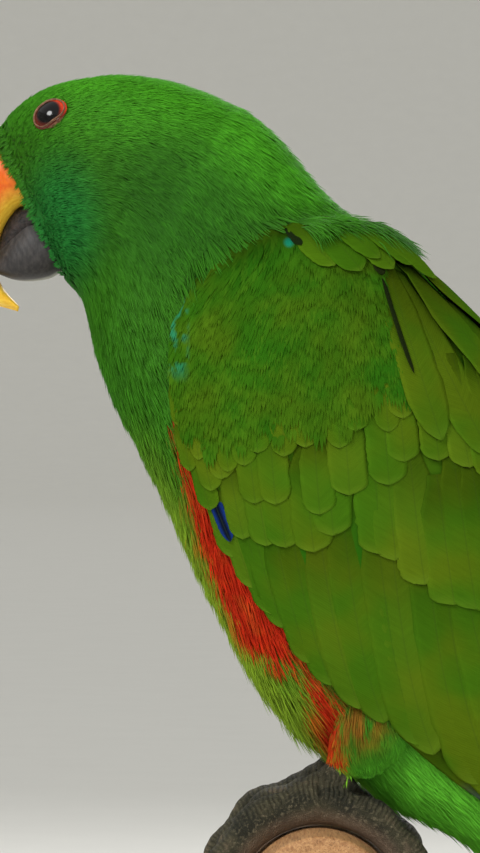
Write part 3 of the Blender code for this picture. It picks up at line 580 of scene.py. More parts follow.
def tuftMesh(name, surface, size, roots, look, finish, draw):
    # roots holds a value for each tuft: u, v, way, length, width, rise (of its tip over its root), sink, red;
    # size is how far the surface's u and v run
    u, v, way = roots["u"], roots["v"], roots["way"]
    count, strands = len(u), look["strands"]
    along, side, ridge, faces = strandPattern(look["rings"])
    alongU, alongV = slopes(surface, u, v)
    normal = unit(np.cross(alongV, alongU))
    way = unit(way - normal * (way * normal).sum(-1, keepdims=True))
    across = np.cross(normal, way)
    stray = draw.normal(0, look["stray"], count)[:, None]
    way, across = way * np.cos(stray) + across * np.sin(stray), across * np.cos(stray) - way * np.sin(stray)
    # every value from here on by tuft, strand and place along the strand
    steps = stepFor(alongU, alongV, way) + stepFor(alongU, alongV, across)
    du, dv, su, sv = (step[:, None, None] for step in steps)
    width, rise, sink, red = (roots[key][:, None, None] for key in ("width", "rise", "sink", "red"))
    spread = np.linspace(-1, 1, strands)[None, :, None]
    length = roots["length"][:, None, None] * (1 - look["rounding"] * spread**2)
    length = length * (1 + draw.uniform(-look["ragged"], look["ragged"], (count, strands, 1)))
    lean = draw.normal(0, look["splay"], (count, strands, 1))
    half = look["strandWidth"] / 2 * (1 + draw.uniform(-look["uneven"], look["uneven"], (count, strands, 1)))
    t = along[None, None, :]
    a = t * length
    c = spread * width / 2 * t ** look["fan"]
    c = c + lean * a + side * half * (1 - look["taper"] * t**2)
    tilt = draw.normal(0, look["tilt"], (count, strands, 1))
    lift = -sink + rise * t ** look["bow"]
    lift = lift + ridge * half * look["ridge"] + tilt * t * rise
    lift = lift - look["cup"] * spread**2 * t * width
    points = surface(u[:, None, None] + du * a + su * c, v[:, None, None] + dv * a + sv * c, lift)
    far = np.linalg.norm(points - surface(u, v, 0.0)[:, None, None], axis=-1).max(axis=(1, 2))
    whole = far < 1.7 * roots["length"] + 2.0  # leaves out the few that would run off a fold of the surface
    tone = draw.uniform(0, 1, count)[:, None, None]
    own = draw.uniform(0, 1, (count, strands, 1))
    plume = np.stack([np.broadcast_to(item, a.shape)[whole] for item in (red, tone, t, own)], axis=-1)
    patch = look["patch"]
    room = (1 - 2 * patch, legRoom - 2 * patch)
    home = np.stack([u / size[0], np.mod(v / size[1], 1.0)], axis=-1) * room + patch
    local = np.stack([np.clip(c / width, -1, 1), np.broadcast_to(2 * t - 1, a.shape)], axis=-1)
    uv = (home[:, None, None, :] + patch * local)[whole]
    offset = np.arange(whole.sum() * strands)[:, None, None] * len(along)
    every = (faces[None] + offset).reshape(-1, 3)
    print("coat", name, whole.sum(), "tufts", len(every), "triangles")
    return meshPiece(name, points[whole], every, finish, uv, plume)


def scatter(first, last, spacing, draw):
    # staggered rows of roots round the body, spacing apart at each section
    at, odd, found = first, 0, []
    turns = np.linspace(0, 2 * math.pi, 241)
    while at < last:
        gap = spacing(at)
        ring = bodySurface(at, turns, 0.0)
        ahead = np.linalg.norm(bodySurface(at + 0.05, turns, 0.0) - ring, axis=-1) / 0.05
        run = np.concatenate([[0], np.cumsum(np.linalg.norm(np.diff(ring, axis=0), axis=-1))])
        count = max(int(run[-1] / gap), 6)
        where = (np.arange(count) + 0.5 * odd + draw.uniform(-0.28, 0.28, count)) / count * run[-1]
        turn = np.interp(np.mod(where, run[-1]), run, turns)
        pace = np.interp(turn, turns, ahead)
        kept = draw.uniform(0, 1, count) < pace / ahead.max()
        shift = draw.uniform(-0.35, 0.35, count) * gap / np.maximum(pace, 1.0)
        found.append(np.stack([at + np.clip(shift, -0.5, 0.5), turn], axis=-1)[kept])
        at, odd = at + gap / ahead.max(), 1 - odd
    return np.concatenate(found).T


eye = {
    "x": -69.6, "z": 195.2,  # in side view
    "radius": 6.6, "sunk": 5.3,  # the ball, and its centre under the skin
    "lidLong": 4.05, "lidShort": 2.75, "slant": math.radians(33),  # half the opening between the lids
    "lidThick": 0.42, "lidRoot": math.radians(58), "lidSunk": 1.7,  # rim and outer edge of the lids
    "bare": 0.15,  # bare skin round the opening
    "until": 4,  # body section from which the coat is clear of the eyes
    "sides": 96, "ballRings": 24, "lidRings": 22,
}


def eyeFrame():
    # skin point, outward normal and the lid's long and short directions, on the left
    at, turn = sideView(bodyTable, eye["x"], eye["z"], 0.2)
    skin = bodySurface(at, turn, 0.0)[0]
    normal = unit(bodySurface(at, turn, 1.0)[0] - skin)
    longWay = np.array([math.cos(eye["slant"]), 0.0, math.sin(eye["slant"])])
    longWay = unit(longWay - normal * longWay.dot(normal))
    return skin, normal, longWay, np.cross(normal, longWay)


eyeSkin, eyeNormal, eyeLong, eyeShort = eyeFrame()
eyeCentre = eyeSkin - eyeNormal * eye["sunk"]


def nearEye(points, margin):
    # true where a point lies over the eye's opening, on either side of the head
    left = np.stack([points[..., 0], -np.abs(points[..., 1]), points[..., 2]], axis=-1)
    far, high = (left - eyeSkin) @ eyeLong, (left - eyeSkin) @ eyeShort
    return (far / (eye["lidLong"] + margin)) ** 2 + (high / (eye["lidShort"] + margin)) ** 2 < 1


def underWing(points, margin):
    # true where a point of the body is covered by a folded wing, further than margin from its edge
    middle, half = middleAndHalf(np.array(wingShape["outline"]))
    half = half * np.clip(1 - margin / np.linalg.norm(half, axis=-1, keepdims=True), 0.05, 1)
    edge = np.concatenate([(middle + half)[:-1], (middle - half)[:-1][::-1]])
    x, z = points[..., 0], points[..., 2]
    inside = np.zeros(x.shape, bool)
    for (ax, az), (bx, bz) in zip(edge, np.roll(edge, -1, axis=0)):
        crosses = (az > z) != (bz > z)
        inside ^= crosses & (x < (bx - ax) * (z - az) / (bz - az + 1e-12) + ax)
    return inside


coatParts = {
    # first and last section of each part; spacing, length and width hold at the two sections of at
    "coat_face": dict(first=0.15, last=3.2, at=(0, 3), spacing=(0.72, 0.85), length=(2.4, 4.4),
                      width=(0.9, 1.5), strands=4, rings=(0, 0.55, 1), strandWidth=0.3, rise=0.75),
    "coat_head": dict(first=3.2, last=6.4, at=(3, 6.4), spacing=(0.85, 1.15), length=(4.4, 7.2),
                      width=(1.5, 2.3), strands=6, rings=(0, 0.5, 1), strandWidth=0.3, rise=0.8),
    "coat_neck": dict(first=6.4, last=9.4, at=(6.4, 9.4), spacing=(1.3, 2.0), length=(7.2, 10.5),
                      width=(2.4, 3.8), strands=9, strandWidth=0.34, rise=0.9),
    "coat_breast": dict(first=9.4, last=13.4, at=(9.4, 13.4), spacing=(2.0, 2.5), length=(9.6, 13.0),
                        width=(3.8, 5.0), strands=10, strandWidth=0.42, rise=1.1),
    "coat_belly": dict(first=13.4, last=17.2, at=(13.4, 17.2), spacing=(2.4, 2.4), length=(13.0, 14.0),
                       width=(5.2, 5.2), strands=12, strandWidth=0.38, rise=1.1),
    "coat_vent": dict(first=17.2, last=24.0, at=(17.2, 24), spacing=(2.5, 3.0), length=(13.5, 15.0),
                      width=(4.8, 5.0), strands=10, strandWidth=0.46, rise=1.05),
}
overlap = {
    "wing": 7.0,  # how far under the wing's edge the coat reaches
    "over": 150.0, "rise": 3.4, "longer": 0.25,  # above this height feathers of the neck lie over the wing
    "back": 13.0, "facing": 0.4,  # strip between the wings: half its width, how far it faces up and back
    "slot": 3.0, "slotFrom": 50.0, "between": 4.0,  # feathers of the slot in it: half width, lowest z, rise
    "loose": (-8.0, 44.0, 9.0), "hang": 3.0,  # loose ones of the belly: middle x, z, reach and rise
}
coatLook = {
    "rings": (0, 0.4, 0.75, 1),  # places along a strand
    "stray": 0.10, "splay": 0.05,  # how far tufts turn from their way, and strands from their tuft
    "ragged": 0.16, "uneven": 0.2,  # how much strands differ in length and in width
    "rounding": 0.22, "fan": 0.6, "taper": 0.55,  # shape of the tuft's end and sides, and of a strand
    "bow": 0.75, "cup": 0.04, "tilt": 0.16, "ridge": 0.8,  # how strands rise, and how round they are
    "patch": 0.0015,  # half of each tuft's patch on the unwrapped skin
}
fringe = {
    # small feathers at the front of the face that reach over the bill
    "until": 0.5, "share": 0.6, "length": 2.3, "rise": 0.5,
}
legRoom = 0.96  # the thighs have the unwrapped skin above this share


def bodyCoat(name, part, seed):
    draw = np.random.default_rng(seed)

    def along(key, at):
        return np.interp(at, part["at"], part[key])

    at, turn = scatter(part["first"], part["last"], lambda at: along("spacing", at), draw)
    count = len(at)
    skin = bodySurface(at, turn, 0.0)
    facing = (bodySurface(at, turn, 1.0) - skin) @ np.array([0.7, 0.0, 0.7])
    back = (np.abs(skin[:, 1]) < overlap["back"]) & (facing > overlap["facing"])
    covered = underWing(skin, overlap["wing"])
    kept = ~covered | back
    length = along("length", at) * draw.uniform(0.85, 1.15, count)
    way = unit(slopes(bodySurface, at, turn)[0])
    if part["first"] < eye["until"]:
        for share in (0.0, 0.5, 0.9):
            kept &= ~nearEye(skin + way * (length * share)[:, None], eye["bare"])
    middle = skin + way * (length * 0.6)[:, None]
    jitter = draw.normal(0, 0.5, (2, count))
    red = redAt(middle[:, 0] + jitter[0], middle[:, 2] + jitter[1] * 2.0, middle[:, 1] + jitter[0] * 2.0)
    depth = readPairs(bodyShape["coat"], at)
    rise = depth * part["rise"] * draw.uniform(0.85, 1.2, count) + 0.15
    reaches = underWing(skin + way * (length * 0.8)[:, None], 0.0) & ~underWing(skin, 1.0)
    reaches &= middle[:, 2] > overlap["over"]
    slot = covered & back & (skin[:, 2] > overlap["slotFrom"])
    rise = rise + reaches * overlap["rise"]
    rise = rise + slot * overlap["between"] * np.exp(-((skin[:, 1] / overlap["slot"]) ** 2))
    length = length * (1 + reaches * overlap["longer"])
    x, z, reach = overlap["loose"]
    hang = np.exp(-(((middle[:, 0] - x) / reach) ** 2) - ((middle[:, 2] - z) / reach) ** 2)
    rise = rise + hang * overlap["hang"] * draw.uniform(0.0, 1.0, count)
    ahead = (at < fringe["until"]) & (draw.uniform(0, 1, count) < fringe["share"])
    way = np.where(ahead[:, None], -way, way)
    length = np.where(ahead, fringe["length"] * draw.uniform(0.6, 1.2, count), length)
    rise = np.where(ahead, fringe["rise"] + depth, rise)
    roots = rootsOf(kept, u=at, v=turn, way=way, length=length, width=along("width", at), rise=rise,
                    sink=depth + 0.1, red=red)
    return tuftMesh(name, bodySurface, (bodyLast, 2 * math.pi), roots, {**coatLook, **part}, coatGreen, draw)


leg = {
    # x, y, z and radius from the belly to the ankle
    "path": ((26.0, -18.0, 66.0, 12.0), (24.0, -18.5, 60.0, 12.6), (17.0, -19.5, 52.0, 12.4),
             (11.0, -19.0, 44.0, 10.6), (6.8, -18.2, 38.0, 8.2), (4.4, -17.6, 34.0, 6.0),
             (3.8, -17.4, 32.6, 5.0)),
    "spacing": 1.7, "length": 11.5, "width": 4.0, "way": (0.26, 0.0, -1.0),
    "rootsOver": 31.5, "tipsOver": 30.0,  # heights, so that none hangs over the foot
    "skinUnder": 1.3, "rows": 50, "columns": 48,
}
legPath = np.array(leg["path"])
legLast = len(legPath) - 1


def legSurface(u, v, lift):
    # u runs down the thigh by rows of its path, v is the turn round it, in radians
    u, v, lift = alike(u, v, lift)
    held = np.clip(u, 0, legLast)
    row = readTable(legPath, held)
    ahead, before = (readTable(legPath, np.clip(held + step, 0, legLast))[..., :3] for step in (0.05, -0.05))
    way = unit(ahead - before)
    first = unit(np.cross(way, np.array([0.0, 1.0, 0.0])))
    ring = np.cos(v)[..., None] * first + np.sin(v)[..., None] * np.cross(way, first)
    past = (u - held)[..., None] * 4.0
    return row[..., :3] + way * past + ring * (row[..., 3] + lift)[..., None]


def skinLook(u, v, last):
    # plain plume values of a skin, and its places on the unwrapped skin
    uv = np.stack(np.broadcast_arrays(u / last, v / (2 * math.pi)), axis=-1)
    plume = np.full(uv.shape[:2] + (4,), 0.5)
    plume[..., 2] = bodyShape["skinDown"]
    return plume, uv


def legSkin():
    # the left thigh's skin: points, faces, markings and places on the unwrapped skin
    u = np.linspace(0, legLast, leg["rows"])[:, None]
    v = fullTurn(leg["columns"])[None, :]
    points = legSurface(u, v, -leg["skinUnder"])
    plume, uv = skinLook(u, v, len(legPath))
    plume[..., 0] = redAt(points[..., 0], points[..., 2])
    quads = gridFaces(leg["rows"], leg["columns"], closed=True)
    triangles = np.concatenate([quads[:, [0, 1, 2]], quads[:, [0, 2, 3]]])
    return points.reshape(-1, 3), triangles, plume.reshape(-1, 4), uv.reshape(-1, 2)


def bodySkin():
    rows, columns = bodyShape["rows"], bodyShape["columns"]
    at = np.linspace(0, bodyLast, rows)[:, None]
    turn = fullTurn(columns)[None, :]
    points = liftedPoint(bodyTable, at, turn, -readPairs(bodyShape["coat"], at))
    plume, uv = skinLook(at, turn, bodyLast)
    plume[..., 0] = redAt(points[..., 0], points[..., 2], points[..., 1])
    points, plume, uv = (withEnds(values) for values in (points, plume, uv))
    faces = cappedFaces(rows, columns)
    legPoints, legFaces, legPlume, legUv = legSkin()
    uv = uv * (1, legRoom)
    for side in (1, -1):  # both thighs grow out of the same skin
        faces = np.concatenate([faces, legFaces[:, ::side] + len(points)])
        points = np.concatenate([points, legPoints * (1, side, 1)])
        plume = np.concatenate([plume, legPlume])
        uv = np.concatenate([uv, legUv * (0.45, 0.03) + (0.5 * (side < 0), legRoom + 0.005)])
    return meshPiece("skin", points, faces, coatGreen, uv, plume)


skin = settle(bodySkin(), "green_feathers", "head", "neck", "torso", "rump", "thigh_left", "thigh_right")
for number, (name, part) in enumerate(coatParts.items()):
    settle(bodyCoat(name, part, 11 + number), "green_feathers")
print("body done")


# Wings

wingFlow = {
    # angle below the horizontal along the upper edge, down the middle and along the lower edge, at rows
    "upper": ((0, 78), (1.5, 70), (3, 58), (4.5, 50), (6, 53), (8, 62), (10, 70), (14, 76)),
    "middle": ((0, 92), (4, 87), (6, 84), (8, 77), (9.5, 67), (11, 60), (14, 57)),
    "lower": ((0, 94), (2, 90), (4, 85), (6, 82), (8, 76), (9.5, 62), (11, 48), (14, 42)),
    "upperOver": (0.03, 0.24), "lowerOver": (0.74, 1.0),  # shares over which one turns into the next
}


def smoothMix(first, second, mask):
    return first * (1 - mask) + second * mask


def barbs(net, tone):
    # millimetres across the vane and along its barbs, and the streaks that the barbs make
    s, t, _ = net.parts(net.add("ShaderNodeUVMap", {"uv_map": "vane"})["UV"])
    sweep = t + abs(s) * 0.8
    return s, sweep, net.noise(net.vector(sweep, s * 0.12, tone * 40.0), 1.1, 3.0, 0.6)


def sideWay(angle):
    # a direction in side view, from its angle below the horizontal
    angle = np.radians(angle)
    return np.stack([np.cos(angle), np.zeros_like(angle), -np.sin(angle)], axis=-1)


def wingWay(row, share):
    upper, middle, lower = (readPairs(wingFlow[key], row) for key in ("upper", "middle", "lower"))
    angle = smoothMix(upper, middle, smoothStep(share, *wingFlow["upperOver"]))
    return sideWay(smoothMix(angle, lower, smoothStep(share, *wingFlow["lowerOver"])))


def vaneFinish(name, under=False, bright=False):
    net = Finish(name, Specular_IOR_Level=0.0)
    blue, tone, along, across = net.plume()
    s, sweep, streak = barbs(net, tone)
    if bright:
        green = net.mix(tone, hue(50, 90, 12), hue(68, 99, 14))
    else:
        drift = net.noise(net.place(), 0.05, 2.0).between(0.35, 0.65)
        green = net.mix(drift, hue(56, 95, 14), hue(74, 96, 14))
        green = net.mix((tone - 0.3).between(0.0, 0.7) * 0.35, green, hue(85, 103, 20))
    edge = abs(across - 0.5) * 2.0
    green = net.tint(green, 0.98 + 0.08 * edge.between(0.6, 1.0))
    green = net.mix(along.between(0.9, 1.0) * 0.25, green, hue(98, 128, 34))
    deep = net.mix(edge.between(0.2, 0.9), hue(14, 20, 36), hue(22, 48, 112))
    colour = net.mix(blue, green, deep)
    root = 0.6 + 0.4 * along.between(0.1, 0.6)
    colour = net.tint(colour, root * (0.84 + 0.32 * streak) * (0.96 + 0.07 * tone))
    shaft = 1 - abs(s).between(0.1, 0.26)
    colour = net.mix(shaft * 0.22, colour, hue(50, 66, 22))
    # nearly black: the vanes' own dark undersides, and painted shade where this finish fills the gaps between
    # the shoulder feathers
    if under:
        colour = net.mix(0.9, colour, hue(16, 19, 14))
    height = streak + 0.2 * (sweep * 9.0).sine()
    return net.done(colour, rough=0.5 + 0.14 * streak, height=height, distance=0.12, strength=0.4)
vaneLook = {
    "columns": 9, "outward": 0.85,  # places across a vane, and how they crowd towards its edges
    "root": 0.45, "full": 0.35,  # its width at the root, and the share of the shaft at which it is full
    "worn": 0.03, "frayed": 0.05, "swept": 0.22,  # how uneven edges and tip are, how far edges run on to it
    "shaft": 0.14, "wave": 0.03,  # height of the shaft, and of the waves of its edges
}
plainFeather = {
    # values that a feather has where its tier gives none
    "width": 10, "lift": 0, "rise": 0.2, "bow": 0.8, "tilt": 0.14, "cup": 0.03, "tipFrom": 0.8, "square": 2.5,
    "blue": 0, "blueFrom": -1,
}


vaneGreen = vaneFinish("vane_green")
mantleGreen = vaneFinish("mantle_green", bright=True)
darkUndersideAndShade = vaneFinish("vane_underside_and_shade", under=True)
stations = 1 - (1 - np.linspace(0, 1, 22)) ** 1.7  # along a large feather, closer near its tip


def vaneMesh(name, surface, feathers, finishes, draw, thick=0.12, outerBlue=True):
    # feathers holds the places u, v along each shaft, one row for each feather, and a value of each kind for
    # each feather; outerBlue keeps the blue to the outer vane
    u, v, look = feathers["u"], feathers["v"], vaneLook
    count, rows = u.shape
    alongU, alongV = slopes(surface, u, v)
    path = surface(u, v, 0.0)
    gone = np.cumsum(np.linalg.norm(np.diff(path, axis=1), axis=-1), axis=1)
    run = np.concatenate([np.zeros((count, 1)), gone], axis=1)[:, :, None]
    way = unit(np.gradient(path, axis=1))
    across = unit(np.cross(unit(np.cross(alongV, alongU)), way))
    steps = stepFor(alongU, alongV, across) + stepFor(alongU, alongV, way)
    # every value from here on by feather, place down the shaft and place across the vane
    su, sv, du, dv, u, v = (item[:, :, None] for item in (*steps, u, v))
    width, lift, rise, bow, tilt, cup, tipFrom, square, blue, blueFrom, number = (
        feathers[key][:, None, None] for key in (*plainFeather, "number"))
    down = stations[None, :, None]
    x = signedPower(np.linspace(-1, 1, look["columns"]), look["outward"])[None, None, :]
    narrow = 1 - np.clip((down - tipFrom) / (1 - tipFrom), 0, 1) ** square
    outline = look["root"] + (1 - look["root"]) * smoothStep(down, 0.0, look["full"])
    half = width / 2 * np.maximum(outline * np.sqrt(np.maximum(narrow, 0.0)), 0.05)
    side = np.ones((count, rows, look["columns"]))
    for edge in (0, -1):
        side[:, :, edge] += draw.normal(0, look["worn"], (count, rows))
    c = x * side * half
    a = -look["swept"] * np.abs(c) * smoothStep(down, 0.2, 1.0)
    a = a + draw.normal(0, look["frayed"], side.shape) * smoothStep(down, 0.7, 1.0)
    u, v = u + su * c + du * a, v + sv * c + dv * a
    lift = lift + rise * down**bow - tilt * x - cup * x**2 * half
    lift = lift + look["shaft"] * (np.abs(x) < 0.05) * (1 - down)
    lift = lift + look["wave"] * np.sin(2.2 * math.pi * down + 3.0 * x + number * 2.4) * np.abs(x)
    tone = draw.uniform(0, 1, count)[:, None, None]
    if outerBlue:
        blue = blue * smoothStep(-x, -0.25, 0.35) * smoothStep(u - blueFrom, 0.0, 0.8)
    plume = np.stack([np.broadcast_to(item, u.shape) for item in (blue, tone, down, (x + 1) / 2)], axis=-1)
    cells = math.ceil(math.sqrt(count))  # each feather has a cell of its own
    corner = np.stack(np.divmod(np.arange(count), cells)[::-1], axis=-1)[:, None, None, :]
    uv = (corner + 0.04 + 0.92 * np.stack(np.broadcast_arrays((x + 1) / 2, down), axis=-1)) / cells
    offset = np.arange(count)[:, None, None] * rows * look["columns"]
    faces = (gridFaces(rows, look["columns"])[None] + offset).reshape(-1, 4)
    vane = np.stack([c, run + number * 37.0 + a], axis=-1)
    piece = meshPiece(name, surface(u, v, lift), faces, finishes, uv, plume, vane)
    solid = piece.modifiers.new("thickness", "SOLIDIFY")
    solid.thickness, solid.offset = thick * mm, -1.0
    solid.material_offset = len(finishes) - 1
    solid.material_offset_rim = 0
    print("vanes", name, count, len(faces) * 2)
    return piece


def flowPath(row, share, length):
    # places along shafts that follow the wing's flow from their tips up to their roots
    u, v = [row], [share]
    for pace in np.diff(stations[::-1]):
        du, dv = stepFor(*slopes(wingSurface, u[-1], v[-1]), wingWay(u[-1], v[-1]))
        u.append(np.maximum(u[-1] + du * length * pace, -0.1))
        v.append(np.clip(v[-1] + dv * length * pace, -0.04, 1.05))
    return np.stack(u[::-1], axis=1), np.stack(v[::-1], axis=1)


def alongTier(values, share):
    # one number, numbers spread evenly over the tier, or (share, value) pairs
    if np.ndim(values) == 2:
        return readPairs(values, share)
    values = np.array(values, float).reshape(-1)
    return np.interp(share, np.linspace(0, 1, len(values)), values)


def featherValues(tier, share):
    return {"number": np.arange(len(share)) + float(tier.get("first", 0)),
            **{key: alongTier(tier.get(key, plain), share) for key, plain in plainFeather.items()}}


def tierFeathers(tier, draw):
    # feathers whose tips stand along a line of rows and shares, and run up from there along the wing's flow
    share = np.linspace(0, 1, tier["count"])
    row = readPairs(tier["tipRow"], share) + draw.normal(0, tier["jitter"], len(share))
    length = readPairs(tier["length"], share) * (1 + draw.normal(0, 0.04, len(share)))
    made = featherValues(tier, share)
    made["u"], made["v"] = flowPath(row, readPairs(tier["tipShare"], share), length)
    made["width"] = made["width"] * (1 + draw.normal(0, 0.06, len(share)))
    return made


def joinFeathers(*many):
    return {key: np.concatenate([each[key] for each in many]) for key in many[0]}


# The feathers of the left wing are numbered from first on. A value is one number, numbers spread evenly
# over the tier, or (share of the tier, value) pairs.
primaries = {
    # from the lowest up: share from the upper edge, rows of root and tip
    "count": 9, "share": (0.965, 0.42), "root": (6.6, 5.8), "tip": (13.6, 14.2, 12.6), "width": (8, 12),
    "lift": (-3.2, -2.8), "blue": ((0, 1.0), (0.6, 0.9), (1, 0.6)), "blueFrom": 8.8, "tipFrom": 0.78,
    "square": 2, "tilt": 0.32,
}


# The other tiers from the deepest up, each from its lowest, foremost feather to the one at the back edge
secondaries = {
    "count": 21, "first": 20, "jitter": 0.1, "length": ((0, 24), (0.15, 38), (0.55, 78), (0.8, 92), (1, 92)),
    "tipRow": ((0, 4.5), (0.1, 5.4), (0.55, 9.15), (0.75, 10.6), (0.9, 11.3), (1, 11.6)),
    "tipShare": ((0, 1.0), (0.2, 0.995), (0.4, 0.97), (0.55, 0.955), (0.68, 0.8), (0.85, 0.42), (1, 0.05)),
    "width": ((0, 8.5), (0.3, 10.5), (0.6, 12), (1, 14)), "lift": (-1.7, -1.3),
    "tipFrom": ((0, 0.86), (0.6, 0.9), (1, 0.9)), "square": 2.2,
}
greaterCoverts = {
    "count": 19, "first": 50, "jitter": 0.12, "length": ((0, 18), (0.3, 30), (1, 46)),
    "tipRow": ((0, 3.7), (0.08, 4.6), (0.2, 5.2), (0.32, 5.9), (0.5, 7.0), (0.66, 8.0), (0.8, 8.8),
               (0.92, 9.3), (1, 9.4)),
    "tipShare": ((0, 0.985), (0.08, 0.9), (0.2, 0.82), (0.32, 0.7), (0.5, 0.66), (0.66, 0.6), (0.8, 0.48),
                 (0.92, 0.3), (1, 0.06)),
    "width": ((0, 8), (0.3, 11.5), (1, 12.5)), "lift": (-1.15, -0.9),
    "tipFrom": ((0, 0.86), (0.3, 0.9), (1, 0.9)), "square": 3.2,
}
medianCoverts = {
    "count": 20, "first": 100, "jitter": 0.12, "length": ((0, 15), (0.4, 24), (1, 30)),
    "tipRow": ((0, 3.0), (0.12, 3.9), (0.22, 4.5), (0.35, 5.2), (0.5, 5.95), (0.68, 6.8), (0.85, 7.4),
               (1, 7.6)),
    "tipShare": ((0, 0.99), (0.12, 0.87), (0.22, 0.79), (0.35, 0.62), (0.5, 0.46), (0.68, 0.35), (0.85, 0.2),
                 (1, 0.05)),
    "width": ((0, 6.5), (0.3, 9), (1, 10.5)), "lift": (-0.75, -0.6),
    "tipFrom": ((0, 0.82), (0.3, 0.87), (1, 0.87)), "square": 3,
}
lesserCoverts = {
    "count": 24, "first": 150, "jitter": 0.12, "length": ((0, 12), (0.5, 17), (1, 19)),
    "tipRow": ((0, 2.4), (0.15, 3.3), (0.3, 4.0), (0.5, 5.0), (0.75, 6.0), (1, 6.6)),
    "tipShare": ((0, 0.99), (0.15, 0.88), (0.3, 0.72), (0.5, 0.5), (0.75, 0.28), (1, 0.05)),
    "width": ((0, 5.5), (0.5, 7.5), (1, 8)), "lift": (-0.45, -0.35), "square": 2.6,
}


def primaryFeathers():
    share = np.linspace(0, 1, primaries["count"])
    across, root, tip = (alongTier(primaries[key], share)[:, None] for key in ("share", "root", "tip"))
    made = featherValues(primaries, share)
    made["u"] = root + stations[None] * (tip - root)
    made["v"] = np.broadcast_to(across, made["u"].shape)
    return made


def sidePath(x, z):
    # rows and shares of the places that a side view of the folded wing shows at x, z
    row, share = np.meshgrid(np.linspace(0, 12, 121), np.linspace(-0.04, 1.05, 90), indexing="ij")
    seen = wingSurface(row, share, 0.0)[..., [0, 2]].reshape(-1, 2)
    wanted = np.stack([np.ravel(x), np.ravel(z)], axis=-1)
    nearest = np.array([np.argmin(((seen - place) ** 2).sum(axis=-1)) for place in wanted])
    u, v = row.ravel()[nearest], share.ravel()[nearest]
    for _ in range(4):
        offX, offZ = (wanted - wingSurface(u, v, 0.0)[:, [0, 2]]).T
        (ux, uz), (vx, vz) = (slope[:, [0, 2]].T for slope in slopes(wingSurface, u, v))
        area = ux * vz - uz * vx
        area = np.where(np.abs(area) < 150.0, 1e9, area)  # no step where the surface is edge-on
        u = u + np.clip((offX * vz - offZ * vx) / area, -0.1, 0.1)
        v = np.clip(v + np.clip((ux * offZ - uz * offX) / area, -0.02, 0.02), -0.04, 1.05)
    return u.reshape(np.shape(x)), v.reshape(np.shape(x))


shoulder = {
    # x and z of the root in side view, angle below the horizontal there and at the tip, length, width, lift
    "long": (
        (15.0, 158.8, 66, 62, 54.0, 12.0, 0.1),
        (12.6, 160.4, 75, 72, 48.0, 11.0, 0.4),
        (36.0, 140.0, 60, 66, 50.0, 13.0, 0.5),
        (17.0, 159.4, 53, 48, 55.0, 11.5, 1.0),
        (27.0, 150.4, 47, 52, 52.0, 11.0, 1.1),
        (18.4, 161.0, 43, 42, 50.0, 9.0, 1.6),
        (15.0, 163.4, 44, 43, 54.0, 9.0, 1.8),
    ),
    "mantle": (
        (-10.4, 167.8, 46, 46, 15.5, 7.5, 0.8),
        (-3.5, 167.6, 46, 54, 16.0, 9.5, 1.0),
        (3.4, 167.4, 42, 50, 16.0, 9.5, 1.2),
        (-3.0, 169.4, 34, 42, 18.0, 7.5, 1.5),
        (4.4, 168.8, 36, 42, 19.0, 8.0, 1.8),
        (9.6, 166.6, 40, 43, 20.0, 7.5, 2.1),
    ),
    "shadeSheets": (  # dark sheets of painted shade between the long ones, partly their dark feather bases
        (16.0, 161.6, 43, 43, 50.0, 11.0, -0.6),
        (10.6, 160.2, 77, 70, 31.0, 1.4, 0.8),
        (10.0, 160.2, 72, 74, 6.0, 3.4, 0.9),
        (-11.0, 166.8, 60, 52, 6.0, 2.8, 0.6),
    ),
    "underEdge": ((-30.6, 101.5, 66, 65, 13.0, 4.5, -0.7),),  # blue, under the front edge
    "sunk": 2.0,  # how far their roots lie under their tips
    "feather": {"first": 100, "rise": 2.0, "bow": 0.3, "tipFrom": 0.7},
}


def shoulderMesh(name, key, finishes, draw, blue=0.0):
    table = np.array(shoulder[key])
    rootX, rootZ, start, end, length = table.T[:5, :, None]
    angle = np.radians(start + (end - start) * stations[None])
    pace = np.diff(stations, prepend=0.0)[None] * length
    x = rootX + np.cumsum(np.cos(angle) * pace, axis=1)
    z = rootZ - np.cumsum(np.sin(angle) * pace, axis=1)
    made = featherValues({**shoulder["feather"], "blue": blue}, np.zeros(len(table)))
    made["u"], made["v"] = sidePath(x, z)
    for item in (made["u"], made["v"]):
        for _ in range(6):
            item[:, 1:-1] = (item[:, :-2] + 2 * item[:, 1:-1] + item[:, 2:]) / 4
    made["width"], made["lift"] = table[:, 5], table[:, 6] - shoulder["sunk"]
    return vaneMesh(name, wingSurface, made, finishes, draw, outerBlue=False)
wingSize = (wingLast, 1.04)


cape = {
    # small feathers of the back that lie over the roots of the mantle's
    "rows": (1.5, 3.25, 0.09), "shares": (-0.05, 0.016, 0.016),  # from, to and step
    "angle": ((1.5, 14), (2.2, 24), (2.8, 34), (3.5, 46)),
    "length": 9.0, "width": 3.4, "rise": 3.7, "sink": 1.5,
    "look": {**coatLook, "strands": 9, "strandWidth": 0.36},
}


def capeMesh(draw):
    u, v = (places.ravel() for places in np.meshgrid(np.arange(*cape["rows"]), np.arange(*cape["shares"])))
    count = len(u)
    u = u + draw.uniform(-0.05, 0.05, count)
    v = v + draw.uniform(-0.008, 0.008, count)
    way = sideWay(readPairs(cape["angle"], u) + draw.normal(0, 3.0, count))
    length = cape["length"] * draw.uniform(0.8, 1.15, count)
    rise = cape["rise"] * draw.uniform(0.85, 1.05, count)
    roots = rootsOf(u=u, v=v, way=way, length=length, width=cape["width"], rise=rise, sink=cape["sink"],
                    red=0)
    return tuftMesh("coat_cape_left", wingSurface, wingSize, roots, cape["look"], coatGreen, draw)


